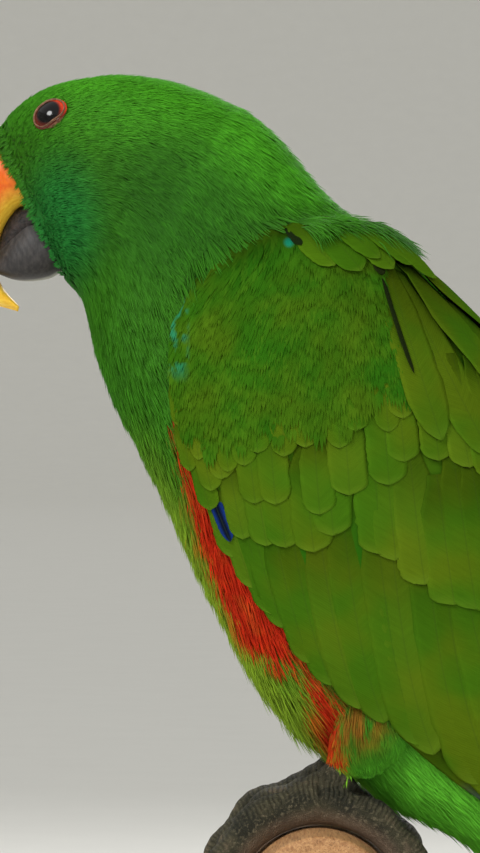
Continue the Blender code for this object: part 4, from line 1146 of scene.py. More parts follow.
smallCoverts = {
    "spacing": 2.3, "shares": (0.0, 0.995), "length": 11.0, "width": 4.6, "rise": (1.75, 2.05), "sink": 1.7,
    "until": ((0.05, 5.6), (0.24, 5.2), (0.44, 4.3), (0.66, 3.4), (0.84, 2.7), (0.99, 1.9)),  # row, at shares
    "grow": (0.7, 0.42, 4.5),  # size at the front edge, what it gains, and the row where it has gained it
    "scapular": (9.4, 160.0, 0.31),  # from x, z down, and how far the line leans: long feathers lie behind it
    "look": {**coatLook, "stray": 0.035, "splay": 0.015, "ragged": 0.06, "rounding": 0.34, "fan": 0.5,
             "bow": 0.7, "cup": 0.03, "tilt": 0.015, "ridge": 0.09, "strands": 8, "strandWidth": 1.4},
}


def smallCovertMesh(draw):
    look = smallCoverts
    row, odd, places = 0.0, 0, []
    shares = np.linspace(*look["shares"], 400)
    while row < look["until"][0][1]:
        line = wingSurface(row, shares, 0.0)
        run = np.concatenate([[0], np.cumsum(np.linalg.norm(np.diff(line, axis=0), axis=-1))])
        count = int(run[-1] / look["spacing"])
        where = (np.arange(count) + 0.5 * odd + 0.25 + draw.uniform(-0.25, 0.25, count)) / count * run[-1]
        share = np.interp(where, run, shares)
        places.append(np.stack([row + draw.uniform(-0.08, 0.08, count), share]))
        ahead = np.linalg.norm(wingSurface(row + 0.1, 0.5, 0.0) - wingSurface(row, 0.5, 0.0)) / 0.1
        row, odd = row + look["spacing"] * 0.8 / ahead, 1 - odd
    u, v = np.concatenate(places, axis=1)
    u = np.maximum(u, 0.0)
    kept = u < readPairs(look["until"], v) + draw.uniform(-0.35, 0.25, len(u))
    u, v = u[kept], v[kept]
    start, gain, last = look["grow"]
    grow = start + gain * np.clip(u / last, 0, 1)
    x, _, z = wingSurface(u, v, 0.0).T
    fromX, fromZ, lean = look["scapular"]
    length = look["length"] * grow * draw.uniform(0.85, 1.15, len(u))
    roots = rootsOf(x < fromX + (fromZ - z) * lean, u=u, v=v, way=wingWay(u, v), length=length,
                    width=look["width"] * grow, rise=draw.uniform(*look["rise"], len(u)),
                    sink=look["sink"], red=0)
    return tuftMesh("small_coverts_left", wingSurface, wingSize, roots, look["look"], covertFinish, draw)


def covertMaterial(name):
    net = Finish(name, Specular_IOR_Level=0.0)
    place = net.place()
    x, _, z = net.parts(place)
    _, tone, along, strand = net.plume()
    drift = net.noise(place, 0.06, 2.0).between(0.35, 0.65)
    green = net.mix(drift, hue(39, 88, 13), hue(61, 92, 14))
    green = net.mix((tone - 0.5).between(0.0, 0.5) * 0.25, green, hue(74, 107, 20))
    green = net.tint(green, 0.7 + 0.6 * net.noise(place * (0.16, 0.16, 0.05), 1.0, 3.0, 0.6))
    # painted glint: a small teal spot on the shoulder; next, the wing's own teal along its front edge
    spot = ((x + 10.6) * (x + 10.6) + (z - 162.8) * (z - 162.8)) ** 0.5
    edge = (1 - x.between(-36.4, -34.4)) * z.between(128.0, 134.0) * (1 - z.between(148.0, 153.0))
    edge = edge * net.noise(place, 0.22, 2.0).between(0.44, 0.6)
    tealEdgeAndGlint = (1 - spot.between(0.5, 1.7)).most(edge * 0.6)
    colour = net.mix(tealEdgeAndGlint * 0.9, green, hue(24, 134, 104))
    neck = 1 - (171.5 + x * 0.42 - z).between(1.0, 9.0)  # in the shade of the neck's feathers
    neck = neck * (1 - x.between(-13.0, -7.0))
    light = (0.78 + 0.22 * along.between(0.0, 0.7)) * (0.94 + 0.1 * tone) * (0.95 + 0.1 * strand)
    colour = net.tint(colour, light * (1 - 0.45 * neck))
    fine = net.noise(place, 2.6, 2.0)
    return net.done(colour, rough=0.58 + 0.1 * fine, height=fine, distance=0.1, strength=0.2)


covertFinish = covertMaterial("covert_green")


def wingSkin():
    row = np.linspace(-0.35, wingLast - wingShape["skinEnd"], 90)[:, None]
    share = np.linspace(-0.02, 1.0, 60)[None, :]
    until = 1.0 - 0.07 * smoothStep(row, 4.0, 6.0)
    outer = wingSurface(row, share * until, -wingShape["skinUnder"])
    inner = wingSurface(row, share * until, -readPairs(wingShape["thickness"], row) - 0.6)
    rows, columns = outer.shape[:2]
    count = rows * columns
    top = gridFaces(rows, columns)
    grid = np.arange(count).reshape(rows, columns)
    rim = np.concatenate([grid[0], grid[1:, -1], grid[-1, -2::-1], grid[-2:0:-1, 0]])
    after = np.roll(rim, -1)
    wall = np.stack([rim, after, after + count, rim + count], axis=-1)
    faces = np.concatenate([top, top[:, ::-1] + count, wall])
    uv = np.clip(np.stack(np.broadcast_arrays(row / wingLast, share), axis=-1), 0, 1)
    plume = np.tile((0.0, 0.4, 0.5, 0.5), (2 * count, 1))
    points, uv = np.stack([outer, inner]), np.stack([uv, uv])
    return meshPiece("wing_skin_left", points, faces, covertFinish, uv, plume)


def makeWings():
    draw = np.random.default_rng(31)
    green, mantle = [vaneGreen, darkUndersideAndShade], [mantleGreen, darkUndersideAndShade]
    flight = joinFeathers(primaryFeathers(), tierFeathers(secondaries, draw))
    pieces = [wingSkin(), vaneMesh("flight_feathers_left", wingSurface, flight, green, draw)]
    tiers = [tierFeathers(tier, draw) for tier in (greaterCoverts, medianCoverts, lesserCoverts)]
    covers = joinFeathers(*tiers)
    pieces += [
        vaneMesh("coverts_left", wingSurface, covers, green, draw),
        smallCovertMesh(draw),
        shoulderMesh("shoulder_feathers_left", "long", green, draw),
        shoulderMesh("mantle_feathers_left", "mantle", mantle, draw),
        # dark sheets that paint the shade between the shoulder feathers
        shoulderMesh("dark_bases_left", "shadeSheets", [darkUndersideAndShade], draw),
        capeMesh(draw),
        shoulderMesh("under_edge_left", "underEdge", green, draw, blue=1.0),
    ]
    for piece in pieces:
        slot = "green_feathers" if piece.name == "coat_cape_left" else "wing_feathers"
        nodes = ["wing_left"] if piece.name == "wing_skin_left" else []
        right = mirrorPiece(piece, piece.name.replace("left", "right"))
        settle(piece, slot, *nodes)
        settle(right, slot, *(node.replace("left", "right") for node in nodes))


makeWings()
print("wings done")


# Tail

tail = {
    "root": (73.0, 0.0, 3.0), "drop": math.radians(53), "length": 105.0, "start": 20.0, "pairs": 6,
    "pitch": (1.7, 4.3),  # how far each feather's shaft lies outside the last, at the root and the tip
    "width": 15.0, "narrower": 0.5,  # of the middle pair, and what each further pair loses
    "arch": 0.006,  # bend of the fan
    "stagger": (2.6, 0.2), "step": 0.8,  # how much shorter and how much lower each pair is
    "feather": {"rise": -0.4, "square": 2.2, "tipFrom": 0.86}, "thick": 0.3,
}


def tailSurface(length, out, lift):
    # a point in the tail's own directions: along it, to the bird's left, and up from its middle
    length, out, lift = alike(length, out, lift)
    lift = lift - tail["arch"] * out**2
    across, high = math.cos(tail["drop"]), math.sin(tail["drop"])
    down, left, up = np.array([(across, 0.0, -high), (0.0, -1.0, 0.0), (high, 0.0, across)])
    return np.array(tail["root"]) + length[..., None] * down + out[..., None] * left + lift[..., None] * up


def tailMesh():
    pair, side = np.repeat(np.arange(tail["pairs"]), 2), np.tile((1, -1), tail["pairs"])
    stagger, more = tail["stagger"]
    tip = tail["length"] - stagger * pair - more * pair * pair
    length = tail["start"] + (tip - tail["start"])[:, None] * stations
    inner, outer = tail["pitch"]
    pitch = inner + (outer - inner) * length / tail["length"]
    made = featherValues(tail["feather"], np.zeros(len(pair)))
    made["u"], made["v"] = length, (side * (pair + 0.42))[:, None] * pitch
    made["number"] = pair * 2.0 + (side > 0)
    made["width"] = tail["width"] - tail["narrower"] * pair
    made["lift"] = 1.6 - tail["step"] * pair - 0.35 * (side > 0)
    made["tilt"] = -0.35 * side
    made["blue"] = 0.25 * np.clip(pair - 2, 0, None)
    draw = np.random.default_rng(41)
    finishes = [tailGreen, darkUndersideAndShade]
    return vaneMesh("tail_feathers", tailSurface, made, finishes, draw, thick=tail["thick"], outerBlue=False)


def tailFinish(name):
    net = Finish(name, Specular_IOR_Level=0.22)
    blue, tone, along, _ = net.plume()
    s, sweep, streak = barbs(net, tone)
    green = net.mix(tone * 0.5, hue(44, 112, 28), hue(66, 124, 30))
    colour = net.mix(blue, green, hue(26, 76, 140))
    colour = net.mix(along.between(0.86, 1.0) * 0.7, colour, hue(34, 84, 120))
    colour = net.mix(along.between(0.975, 1.0) * 0.8, colour, hue(186, 186, 130))
    colour = net.tint(colour, (0.6 + 0.4 * along.between(0.0, 0.5)) * (0.8 + 0.4 * streak))
    shaft = 1 - abs(s).between(0.15, 0.4)
    colour = net.mix(shaft * 0.5, colour, hue(40, 46, 26))
    height = streak + 0.25 * (sweep * 9.0).sine()
    return net.done(colour, rough=0.42 + 0.16 * streak, height=height, distance=0.16, strength=0.5)


tailGreen = tailFinish("tail_green")
settle(tailMesh(), "tail_feathers", "tail")


def thighCoat():
    draw = np.random.default_rng(51)
    found, row, odd = [], 0.2, 0
    while row < legLast - 0.4:
        count = int(2 * math.pi * readTable(legPath, row)[3] / leg["spacing"])
        turn = (np.arange(count) + 0.5 * odd + draw.uniform(-0.3, 0.3, count)) / count * 2 * math.pi
        found.append(np.stack([row + draw.uniform(-0.1, 0.1, count), turn]))
        pace = np.linalg.norm(legSurface(row + 0.1, 0.0, 0.0) - legSurface(row, 0.0, 0.0)) / 0.1
        row, odd = row + leg["spacing"] * 0.85 / pace, 1 - odd
    u, v = np.concatenate(found, axis=1)
    kept = legSurface(u, v, 0.0)[:, 2] > leg["rootsOver"]
    u, v = u[kept], v[kept]
    count = len(u)
    points = legSurface(u, v, 0.0)
    way = np.broadcast_to(unit(np.array(leg["way"])), points.shape)
    length = leg["length"] * draw.uniform(0.75, 1.2, count) * (1 - 0.68 * smoothStep(u, 3.0, 5.6))
    length = np.clip(length, 2.0, np.maximum(points[:, 2] - leg["tipsOver"], 2.0))
    middle = points + way * (length * 0.5)[:, None]
    red = redAt(middle[:, 0] + draw.normal(0, 0.7, count), middle[:, 2] + draw.normal(0, 1.4, count))
    roots = rootsOf(u=u, v=v, way=way, length=length, width=leg["width"], rise=draw.uniform(0.8, 1.5, count),
                    sink=1.4, red=red)
    look = {**coatLook, "strands": 8, "strandWidth": 0.42}
    return tuftMesh("coat_thigh_left", legSurface, (len(legPath), 2 * math.pi), roots, look, coatGreen, draw)


thigh = settle(thighCoat(), "green_feathers")
settle(mirrorPiece(thigh, "coat_thigh_right"), "green_feathers")
print("tail and thighs done")


# Eyes

def eyeFinish(name, flip):
    net = Finish(name, Roughness=0.12, Coat_Weight=0.25, Coat_Roughness=0.05, Specular_IOR_Level=0.2)
    off = net.place() - tuple((eyeCentre * flip).tolist())

    def along(way):
        inputs = {0: off, 1: tuple((way * flip).tolist())}
        return net.add("ShaderNodeVectorMath", {"operation": "DOT_PRODUCT"}, inputs)["Value"]

    far, high = along(eyeLong), along(eyeShort)
    away = (far**2.0 + high**2.0) ** 0.5
    iris = net.mix(away.between(2.9, 3.8), hue(60, 12, 4), hue(190, 50, 12))
    upper = (far * 0.8 + high * 0.6).between(-1.0, 2.6)
    iris = net.mix((1 - upper) * 0.85, iris, hue(40, 12, 8))
    spokes = net.noise(net.vector(far / away, high / away, away * 0.15), 6.0, 3.0)
    iris = net.tint(iris, 0.6 + 0.7 * spokes)
    return net.done(net.mix(away.between(2.75, 3.05), hue(4, 3, 4), iris))


def lidFinish():
    net = Finish("lid_skin", Specular_IOR_Level=0.3)
    place = net.place()
    rough = net.noise(place, 1.4, 3.0)
    colour = net.mix(rough.between(0.35, 0.7), hue(92, 62, 44), hue(136, 96, 72))
    return net.done(colour, rough=0.5 + 0.2 * rough, height=net.cells(place, 2.6), distance=0.15,
                    strength=0.5)


def eyeDome(limit, rings, radius):
    # points of a dome about the eye's axis, out to the angle that limit gives for each turn
    turn, share = fullTurn(eye["sides"])[None, :, None], np.linspace(0, 1, rings)[:, None, None]
    outward = np.cos(turn) * eyeLong + np.sin(turn) * eyeShort
    angle = limit(turn, share)
    return eyeCentre + (np.cos(angle) * eyeNormal + np.sin(angle) * outward) * radius(turn, share)


def lidOpening(turn):
    return np.arcsin(np.hypot(np.cos(turn) * eye["lidLong"], np.sin(turn) * eye["lidShort"]) / eye["radius"])


def ballAngle(turn, share):
    return (lidOpening(turn) + 0.14) * share  # runs on a little under the lids


def ballReach(turn, share):
    return eye["radius"] * (1 + 0.03 * np.exp(-((share / 0.5) ** 2)))


def lidAngle(turn, share):
    return lidOpening(turn) + (eye["lidRoot"] - lidOpening(turn)) * share**1.3


def lidReach(turn, share):
    rim = eye["lidThick"] * np.sin(math.pi * np.clip(share * 5.0, 0, 1)) ** 0.6
    wrinkle = 0.04 * np.sin(turn * 23 + 2 * np.sin(3 * turn)) * np.clip(share * 4, 0, 1)
    return eye["radius"] * 1.008 + rim + wrinkle - eye["lidSunk"] * smoothStep(share, 0.14, 0.9)


def makeEyes():
    lidSkin = lidFinish()
    ball = eyeDome(ballAngle, eye["ballRings"], ballReach)
    back = np.broadcast_to(eyeCentre, (1, eye["sides"], 3))
    ball = np.concatenate([ball, (ball[-1:] + back) / 2, back])
    lids = eyeDome(lidAngle, eye["lidRings"], lidReach)
    for side, word in ((-1, "left"), (1, "right")):
        flip = np.array([1.0, -side, 1.0])
        finish = eyeFinish("eye_" + word, flip)
        for name, points, material in (("eyeball_", ball, finish), ("lids_", lids, lidSkin)):
            faces = gridFaces(len(points), eye["sides"], closed=True)[:, ::side]
            piece = meshPiece(name + word, points * flip, faces, material)
            if name == "eyeball_":
                settle(piece, "eye", "eye_" + word)
            else:
                settle(piece, "green_feathers")


makeEyes()
print("eyes done")


# Bill

bill = {
    # ridge x, ridge z, cutting edge x, cutting edge z, half width
    "upper_bill": (
        (-77.0, 189.0, -71.6, 173.6, 9.2),
        (-83.6, 190.6, -77.2, 172.4, 9.6),
        (-90.6, 187.8, -79.2, 170.6, 9.0),
        (-96.0, 181.2, -81.2, 167.6, 8.1),
        (-98.2, 172.0, -82.6, 163.8, 7.1),
        (-97.0, 162.6, -83.4, 159.8, 6.0),
        (-92.8, 154.8, -83.2, 156.0, 4.8),
        (-86.4, 149.6, -81.4, 152.2, 3.2),
        (-77.9, 147.0, -77.7, 148.0, 0.8),
    ),
    "lower_bill": (
        (-71.6, 171.6, -64.6, 158.6, 7.8),
        (-76.6, 171.4, -68.6, 155.6, 8.6),
        (-79.2, 168.6, -71.4, 154.6, 8.4),
        (-81.6, 165.0, -75.2, 154.2, 7.6),
        (-83.6, 161.0, -79.0, 154.6, 6.2),
        (-84.6, 158.0, -82.4, 155.8, 4.2),
    ),
    "mouth": (
        (-68.0, 175.0, -68.0, 166.0, 6.0),
        (-73.0, 175.0, -72.0, 166.0, 6.6),
        (-77.5, 173.2, -75.8, 164.5, 6.4),
        (-80.6, 169.8, -79.0, 162.0, 5.4),
        (-82.4, 165.4, -81.4, 160.0, 4.0),
        (-83.2, 161.6, -82.8, 158.6, 2.0),
    ),
    "keel": 0.35,  # height of the ridge's keel
    "growth": (0.015, 0.04),  # height of the growth lines on a bill without a keel and on one with it
    "rows": 90, "columns": 56,
}


def billPiece(name, finish, keeled=False):
    table = np.array(bill[name])
    number = np.linspace(0, len(table) - 1, bill["rows"])[:, None]
    turn = fullTurn(bill["columns"])[None, :]
    up, out = np.cos(turn), np.sin(turn)
    rows = readTable(table, number)
    middle, half = middleAndHalf(rows)
    place = middle + up[..., None] * half
    fullness = 1 - 0.18 * up
    if keeled:  # along the ridge
        fullness = fullness * (1 - 0.10 * np.clip(up, 0, 1) ** 6)
        place = place + bill["keel"] * (np.clip(up, 0, 1) ** 24)[..., None] * unit(half)
    growth = bill["growth"][keeled] * np.sin(number * 17.0) * (0.5 + 0.5 * np.abs(out))  # growth lines
    y = out * (rows[..., 4] * fullness + growth)
    points = np.stack([place[..., 0], y, place[..., 1]], axis=-1)
    share = number / (len(table) - 1)
    values = (share, (up + 1) / 2, np.abs(out), 0)
    plume = np.stack([np.broadcast_to(value, y.shape) for value in values], axis=-1)
    faces = cappedFaces(bill["rows"], bill["columns"])[:, ::-1]
    return meshPiece(name, withEnds(points), faces, finish, plume=withEnds(plume))


def upperBillFinish():
    net = Finish("bill_orange", Coat_Weight=0.08, Coat_Roughness=0.3, Specular_IOR_Level=0.25)
    place = net.place()
    share, up, _, _ = net.plume()
    streak = net.noise(place * (0.6, 2.0, 0.25), 0.9, 4.0, 0.6)
    orange = net.mix(streak.between(0.35, 0.7), hue(204, 82, 6), hue(220, 114, 12))
    root = 1 - share.between(0.0, 0.5)
    orange = net.mix(root * 0.35, orange, hue(190, 70, 12))
    yellow = net.mix(streak.between(0.3, 0.7), hue(226, 172, 44), hue(240, 200, 70))
    edge = (1 - up.between(0.05, 0.34)).most(share.between(0.62, 0.86))
    colour = net.tint(net.mix(edge, orange, yellow), 0.86 + 0.24 * net.noise(place, 1.6, 3.0))
    height = streak + 0.4 * net.noise(place, 5.0, 2.0)
    return net.done(colour, rough=0.26 + 0.2 * streak, height=height, strength=0.35)


def lowerBillFinish():
    net = Finish("bill_black", Coat_Weight=0.12, Coat_Roughness=0.4, Specular_IOR_Level=0.35)
    share, up, _, _ = net.plume()
    streak = net.noise(net.place() * (1.0, 1.0, 0.4), 1.1, 4.0, 0.6)
    colour = net.mix(streak.between(0.3, 0.75), hue(26, 24, 24), hue(56, 52, 50))
    # painted highlight: a pale grey line along the lower bill's bottom edge
    rim = (1 - up.between(0.0, 0.045)) * (1 - share.between(0.5, 0.95))
    colour = net.mix(rim * 0.8, colour, hue(158, 156, 140))
    return net.done(colour, rough=0.5 + 0.2 * streak, height=streak, strength=0.3)


def mouthFinish():
    net = Finish("mouth", Specular_IOR_Level=0.3)
    place = net.place()
    colour = net.mix(net.noise(place, 0.6, 3.0).between(0.35, 0.7), hue(20, 17, 16), hue(46, 36, 33))
    return net.done(colour, rough=0.5 + 0.2 * net.noise(place, 2.0), height=net.noise(place, 1.5),
                    distance=0.3)


settle(billPiece("upper_bill", upperBillFinish(), keeled=True), "bill_orange", "bill_upper")
settle(billPiece("lower_bill", lowerBillFinish()), "bill_black", "bill_lower")
settle(billPiece("mouth", mouthFinish()), "bill_black")
print("bill done")


# Feet

foot = {
    "perch": (-3.0, -1.5), "perchRadius": 21.0, "gap": 0.35,  # its x and z, and the foot's height over it
    "y": 17.0, "toeRadius": 5.3, "pads": 3, "hub": 6.6, "ankle": (3.4, -17.4, 32.6), "shank": (5.6, 5.1, 4.7),
    "claw": 13.0, "clawSunk": 1.2,  # length over the toe and inside it
    "cell": 0.38,  # size of the skin's mesh
    # name, forwards (-1) or back (1), angle round the perch at root and tip, y at root and tip, size
    "toes": (
        ("outer_front", -1, 2, 98, -2.5, -8.0, 1.00),
        ("inner_front", -1, 2, 78, 2.5, 7.0, 0.92),
        ("outer_back", 1, 2, 88, -2.5, -8.5, 0.95),
        ("inner_back", 1, 2, 62, 2.5, 6.0, 0.88),
    ),
}
perchX, perchZ = foot["perch"]


def toePath(toe, steps):
    # the middle line and the radius of a toe that lies round the perch
    _, way, start, end, rootY, tipY, size = toe
    share = np.linspace(0, 1, steps)
    angle = np.radians(start + (end - start) * share)
    pads = 0.07 * np.cos(share * foot["pads"] * 2 * math.pi)
    radius = foot["toeRadius"] * size * (1.0 - 0.24 * share + pads)
    radius = radius * (1 - 0.28 * share**10)
    reach = foot["perchRadius"] + foot["gap"] + radius
    x = perchX + way * reach * np.sin(angle)
    z = perchZ + reach * np.cos(angle)
    y = -foot["y"] + rootY + (tipY - rootY) * share
    return np.stack([x, y, z], axis=-1), radius


def tubePiece(name, path, radius, sides, finish, shape=None):
    # a closed tube; shape(share, turn) scales its radius, turn 0 on the outer side of the bend
    way = unit(np.gradient(path, axis=0))
    side = unit(np.cross(way, np.array([0.0, 1.0, 0.0])))
    if (side * (path - (perchX, path[0, 1], perchZ))).sum() < 0:
        side = -side
    turn, share = fullTurn(sides)[None, :], np.linspace(0, 1, len(path))[:, None]
    scale = np.ones((len(path), sides)) if shape is None else shape(share, turn)
    ring = np.cos(turn)[..., None] * side[:, None] + np.sin(turn)[..., None] * np.cross(way, side)[:, None]
    points = path[:, None] + ring * (radius[:, None] * scale)[..., None]
    points = np.concatenate([points.reshape(-1, 3), path[[0, -1]]])
    return meshPiece(name, points, cappedFaces(len(path), sides), finish)


def scutes(share, turn):
    # plates across the toe's upper side and folds at its sides
    plate = np.abs(np.sin(share * math.pi * 17)) ** 0.5
    top = np.clip(np.cos(turn), 0, 1) ** 0.6
    side = np.abs(np.sin(turn)) ** 2
    fold = np.sin(share * 61 + 2.0 * np.sin(3 * turn)) * np.sin(share * 23 + turn * 2)
    return 1 + 0.055 * (plate - 0.7) * top + 0.03 * side * fold


def fromPerch(x, z):
    # the distance from the axis of the perch, and its two parts
    offX, offZ = x - perchX, z - perchZ
    return (offX * offX + offZ * offZ) ** 0.5, offX, offZ


def footFinish():
    net = Finish("foot_skin", Specular_IOR_Level=0.25)
    place = net.place()
    x, _, z = net.parts(place)
    away, offX, offZ = fromPerch(x, z)
    turn = net.add("ShaderNodeMath", {"operation": "ARCTAN2"}, {0: offX, 1: offZ})["Value"]
    bent = net.noise(place, 0.35, 2.0)
    over = away.between(26.5, 29.5) * (1 - away.between(33.5, 35.5))
    ring = ((turn * 150.0 + bent * 9.0).sine() * 0.5 + 0.5) ** 0.6  # narrow plates across the toes
    fold = net.noise(place * (0.6, 1.6, 0.6), 1.5, 4.0, 0.65)
    grain = net.cells(place, 1.9, "DISTANCE_TO_EDGE").between(0.0, 0.25)
    height = ring * over + fold * (1.5 - over) + grain * 0.5
    tone = net.noise(place, 0.16, 3.0)
    colour = net.mix(tone.between(0.35, 0.65), hue(48, 48, 36), hue(80, 76, 56))
    # paler on the crests of the wrinkles: partly the skin's own colour, partly painted highlight
    colour = net.mix(fold.between(0.5, 0.68) * (1 - over * 0.6) * 0.7, colour, hue(138, 128, 102))
    pale = (1 - away.between(22.5, 26.5)) * 0.65
    colour = net.mix(pale.most(tone.between(0.62, 0.75) * 0.4), colour, hue(150, 126, 104))
    # painted light and shade: lighter on the crests of the plates and folds, darker in the grooves between
    # them; the dark lines between scales are the skin's own
    colour = net.tint(colour, 0.6 + 0.42 * ring * over + 0.5 * fold * (1 - over * 0.5) + 0.14 * grain)
    return net.done(colour, rough=0.62 + 0.2 * fold, height=height, distance=0.9)


def makeFoot():
    # toes, ankle and the ball between them, joined into one skin
    x, y, top, hub = perchX, -foot["y"], perchZ + foot["perchRadius"] + foot["gap"], foot["hub"]
    finish = footFinish()
    parts = [tubePiece("toe", *toePath(toe, 90), 40, finish, scutes) for toe in foot["toes"]]
    fine = np.linspace(0, 2, 24)
    shank = readTable([(x + 1.5, y, top + hub), (x + 3.0, y, top + 9.2), foot["ankle"]], fine)
    parts.append(tubePiece("shank", shank, np.interp(fine, (0, 1, 2), foot["shank"]), 40, finish, scutes))
    shell = bmesh.new()
    for part in parts:
        shell.from_mesh(part.data)
        bpy.data.objects.remove(part)
    centre = Vector((np.array((x + 1.0, y, top + hub * 0.98)) + tableOrigin) * mm)
    bmesh.ops.create_uvsphere(shell, u_segments=40, v_segments=24, radius=hub * mm,
                              matrix=Matrix.Translation(centre))
    bmesh.ops.recalc_face_normals(shell, faces=shell.faces)
    holder = shown("foot_skin_left", bpy.data.meshes.new("foot"))
    shell.to_mesh(holder.data)
    shell.free()
    remesh = holder.modifiers.new("remesh", "REMESH")
    remesh.mode, remesh.voxel_size, remesh.use_smooth_shade = "VOXEL", foot["cell"] * mm, True
    smooth = holder.modifiers.new("smooth", "SMOOTH")
    smooth.factor, smooth.iterations = 0.5, 2
    made = bpy.data.meshes.new_from_object(holder.evaluated_get(bpy.context.evaluated_depsgraph_get()))
    holder.modifiers.clear()
    holder.data = made
    made.materials.clear()
    made.materials.append(finish)
    made.shade_smooth()
    return holder


def clawFinish():
    net = Finish("claw_horn", Coat_Weight=0.4, Coat_Roughness=0.2)
    streak = net.noise(net.place() * (0.5, 2.0, 0.5), 1.2, 3.0)
    colour = net.mix(streak.between(0.35, 0.7), hue(24, 22, 21), hue(60, 56, 50))
    return net.done(colour, rough=0.3 + 0.2 * streak, height=streak, strength=0.4)


def makeFeet():
    holder = makeFoot()
    settle(holder, "foot_skin", "foot_left")
    settle(mirrorPiece(holder, "foot_skin_right"), "foot_skin", "foot_right")
    horn = clawFinish()
    share = np.linspace(0, 1, 26)[:, None]
    sunk = foot["clawSunk"]
    for toe in foot["toes"]:
        path, radius = toePath(toe, 8)
        tip = path[-1]
        way, inward = unit(tip - path[-2]), unit(np.array([perchX, tip[1], perchZ]) - tip)
        length = foot["claw"] * toe[-1]
        line = tip + way * (-sunk + (length + sunk) * share * np.cos(0.5 * share))
        line = line + inward * (length * 0.30 * share**2 - 0.6)
        width = radius[-1] * 0.6 * (1 - share[:, 0]) ** 0.75 + 0.16
        claw = tubePiece("claw_horn_left_" + toe[0], line, width, 24, horn)
        settle(claw, "claw", "claw_left_" + toe[0])
        settle(mirrorPiece(claw, "claw_horn_right_" + toe[0]), "claw", "claw_right_" + toe[0])


def arc(x, z, across, up, first, count):
    # a quarter round from upright at x, z to level, that ends across and up from there
    return [(x + across * (1 - math.cos(a)), z + up * math.sin(a))
            for a in np.linspace(first, math.pi / 2, count)]


def hardPiece(name, rings, finish, edge=40):
    # a solid from rings of points, with sharp edges over so many degrees
    piece = meshPiece(name, rings, gridFaces(rings.shape[0], rings.shape[1], closed=True), finish)
    piece.data.set_sharp_from_angle(angle=math.radians(edge))
    return piece


makeFeet()
print("feet done")


# Stand

stand = {
    "perchLength": 104.0, "perchRadius": 21.0, "uneven": 0.22, "bevel": 1.6,
    "seat": 9.0, "seatDepth": 1.6,  # half width and depth of the flat under the perch, for the rod
    "rod": 5.0, "collar": 13.0,  # radii
    "base": (168.0, 124.0), "corner": 22.0,
}


def turnedPiece(name, profile, finish, centre=(0, 0, 0), sides=96):
    # a solid turned about Z from (radius, height) pairs
    radius, height = np.array(profile, float).T[:, :, None]
    turn = -fullTurn(sides)
    rings = np.stack(np.broadcast_arrays(radius * np.cos(turn), radius * np.sin(turn), height), axis=-1)
    return hardPiece(name, rings + np.array(centre) - tableOrigin, finish)


def perchFinish():
    net = Finish("perch_wood", Specular_IOR_Level=0.35)
    place = net.place()
    x, _, z = net.parts(place)
    wobble = net.noise(place * (1.0, 0.12, 1.0), 0.12, 3.0)
    ring = ((fromPerch(x, z)[0] + wobble * 7.0) * 1.7).sine() * 0.5 + 0.5
    grain = net.noise(place * (1.0, 0.05, 1.0), 1.3, 4.0, 0.65)
    pores = net.noise(place * (1.0, 0.035, 1.0), 3.6, 2.0)
    colour = net.mix(ring * 0.55, hue(164, 118, 74), hue(120, 78, 44))
    colour = net.mix(grain.between(0.35, 0.7) * 0.7, colour, hue(196, 152, 104))
    colour = net.mix((1 - pores.between(0.34, 0.46)) * 0.5, colour, hue(74, 46, 26))
    return net.done(colour, rough=0.58 + 0.2 * grain, height=grain + 0.7 * pores, distance=0.3, strength=0.5)


def makePerch():
    half, radius, bevel = stand["perchLength"] / 2, stand["perchRadius"] - 0.05, stand["bevel"]
    front = [(0.01, half - 0.25), (6.0, half - 0.1), (12.0, half)]
    front += arc(radius, half - bevel, -bevel, bevel, 0, 7)[::-1]
    body = [(radius, y) for y in np.linspace(half - bevel, -half + bevel, 60)[1:-1]]
    r, y = np.array(front + body + [(r, -y) for r, y in front[::-1]])[:, :, None].transpose(1, 0, 2)
    turn = fullTurn(128)
    uneven = np.sin(2 * turn + y * 0.03) + np.sin(3 * turn - y * 0.045 + 1.0) - 2
    r = r + stand["uneven"] * uneven * np.clip(r / radius, 0, 1) ** 2
    x, z = perchX + r * np.cos(turn), perchZ + r * np.sin(turn)
    near = (np.abs(y) < stand["seat"]) & (np.abs(x - perchX) < stand["seat"])
    z = np.where(near, np.maximum(z, perchZ - stand["perchRadius"] + stand["seatDepth"]), z)
    return hardPiece("perch", np.stack(np.broadcast_arrays(x, y, z), axis=-1), perchFinish(), edge=35)


def steelFinish():
    net = Finish("brushed_steel", Metallic=1.0)
    brushed = net.noise(net.place() * (0.3, 0.3, 9.0), 1.0, 3.0)
    colour = net.mix(brushed, hue(150, 150, 150), hue(186, 186, 184))
    return net.done(colour, rough=0.26 + 0.2 * brushed, height=brushed, distance=0.05, strength=0.3)


def baseFinish():
    net = Finish("base_wood", Coat_Weight=0.12, Coat_Roughness=0.4, Specular_IOR_Level=0.3)
    place = net.place()
    x, y, _ = net.parts(place)
    wave = net.noise(place * (0.05, 0.5, 0.5), 0.12, 3.0)
    rings = (y * 0.42 + wave * 26.0 + x * 0.02).sine() * 0.5 + 0.5
    grain = net.noise(place * (0.05, 1.0, 1.0), 1.4, 5.0, 0.65)
    pores = net.noise(place * (0.03, 1.4, 1.4), 2.6, 2.0)
    colour = net.mix(rings * 0.5, hue(66, 40, 26), hue(44, 25, 16))
    colour = net.mix(grain.between(0.35, 0.75) * 0.6, colour, hue(98, 60, 36))
    colour = net.mix((1 - pores.between(0.33, 0.45)) * 0.6, colour, hue(24, 13, 8))
    return net.done(colour, rough=0.52 + 0.18 * grain, height=grain + 0.6 * pores, strength=0.4)


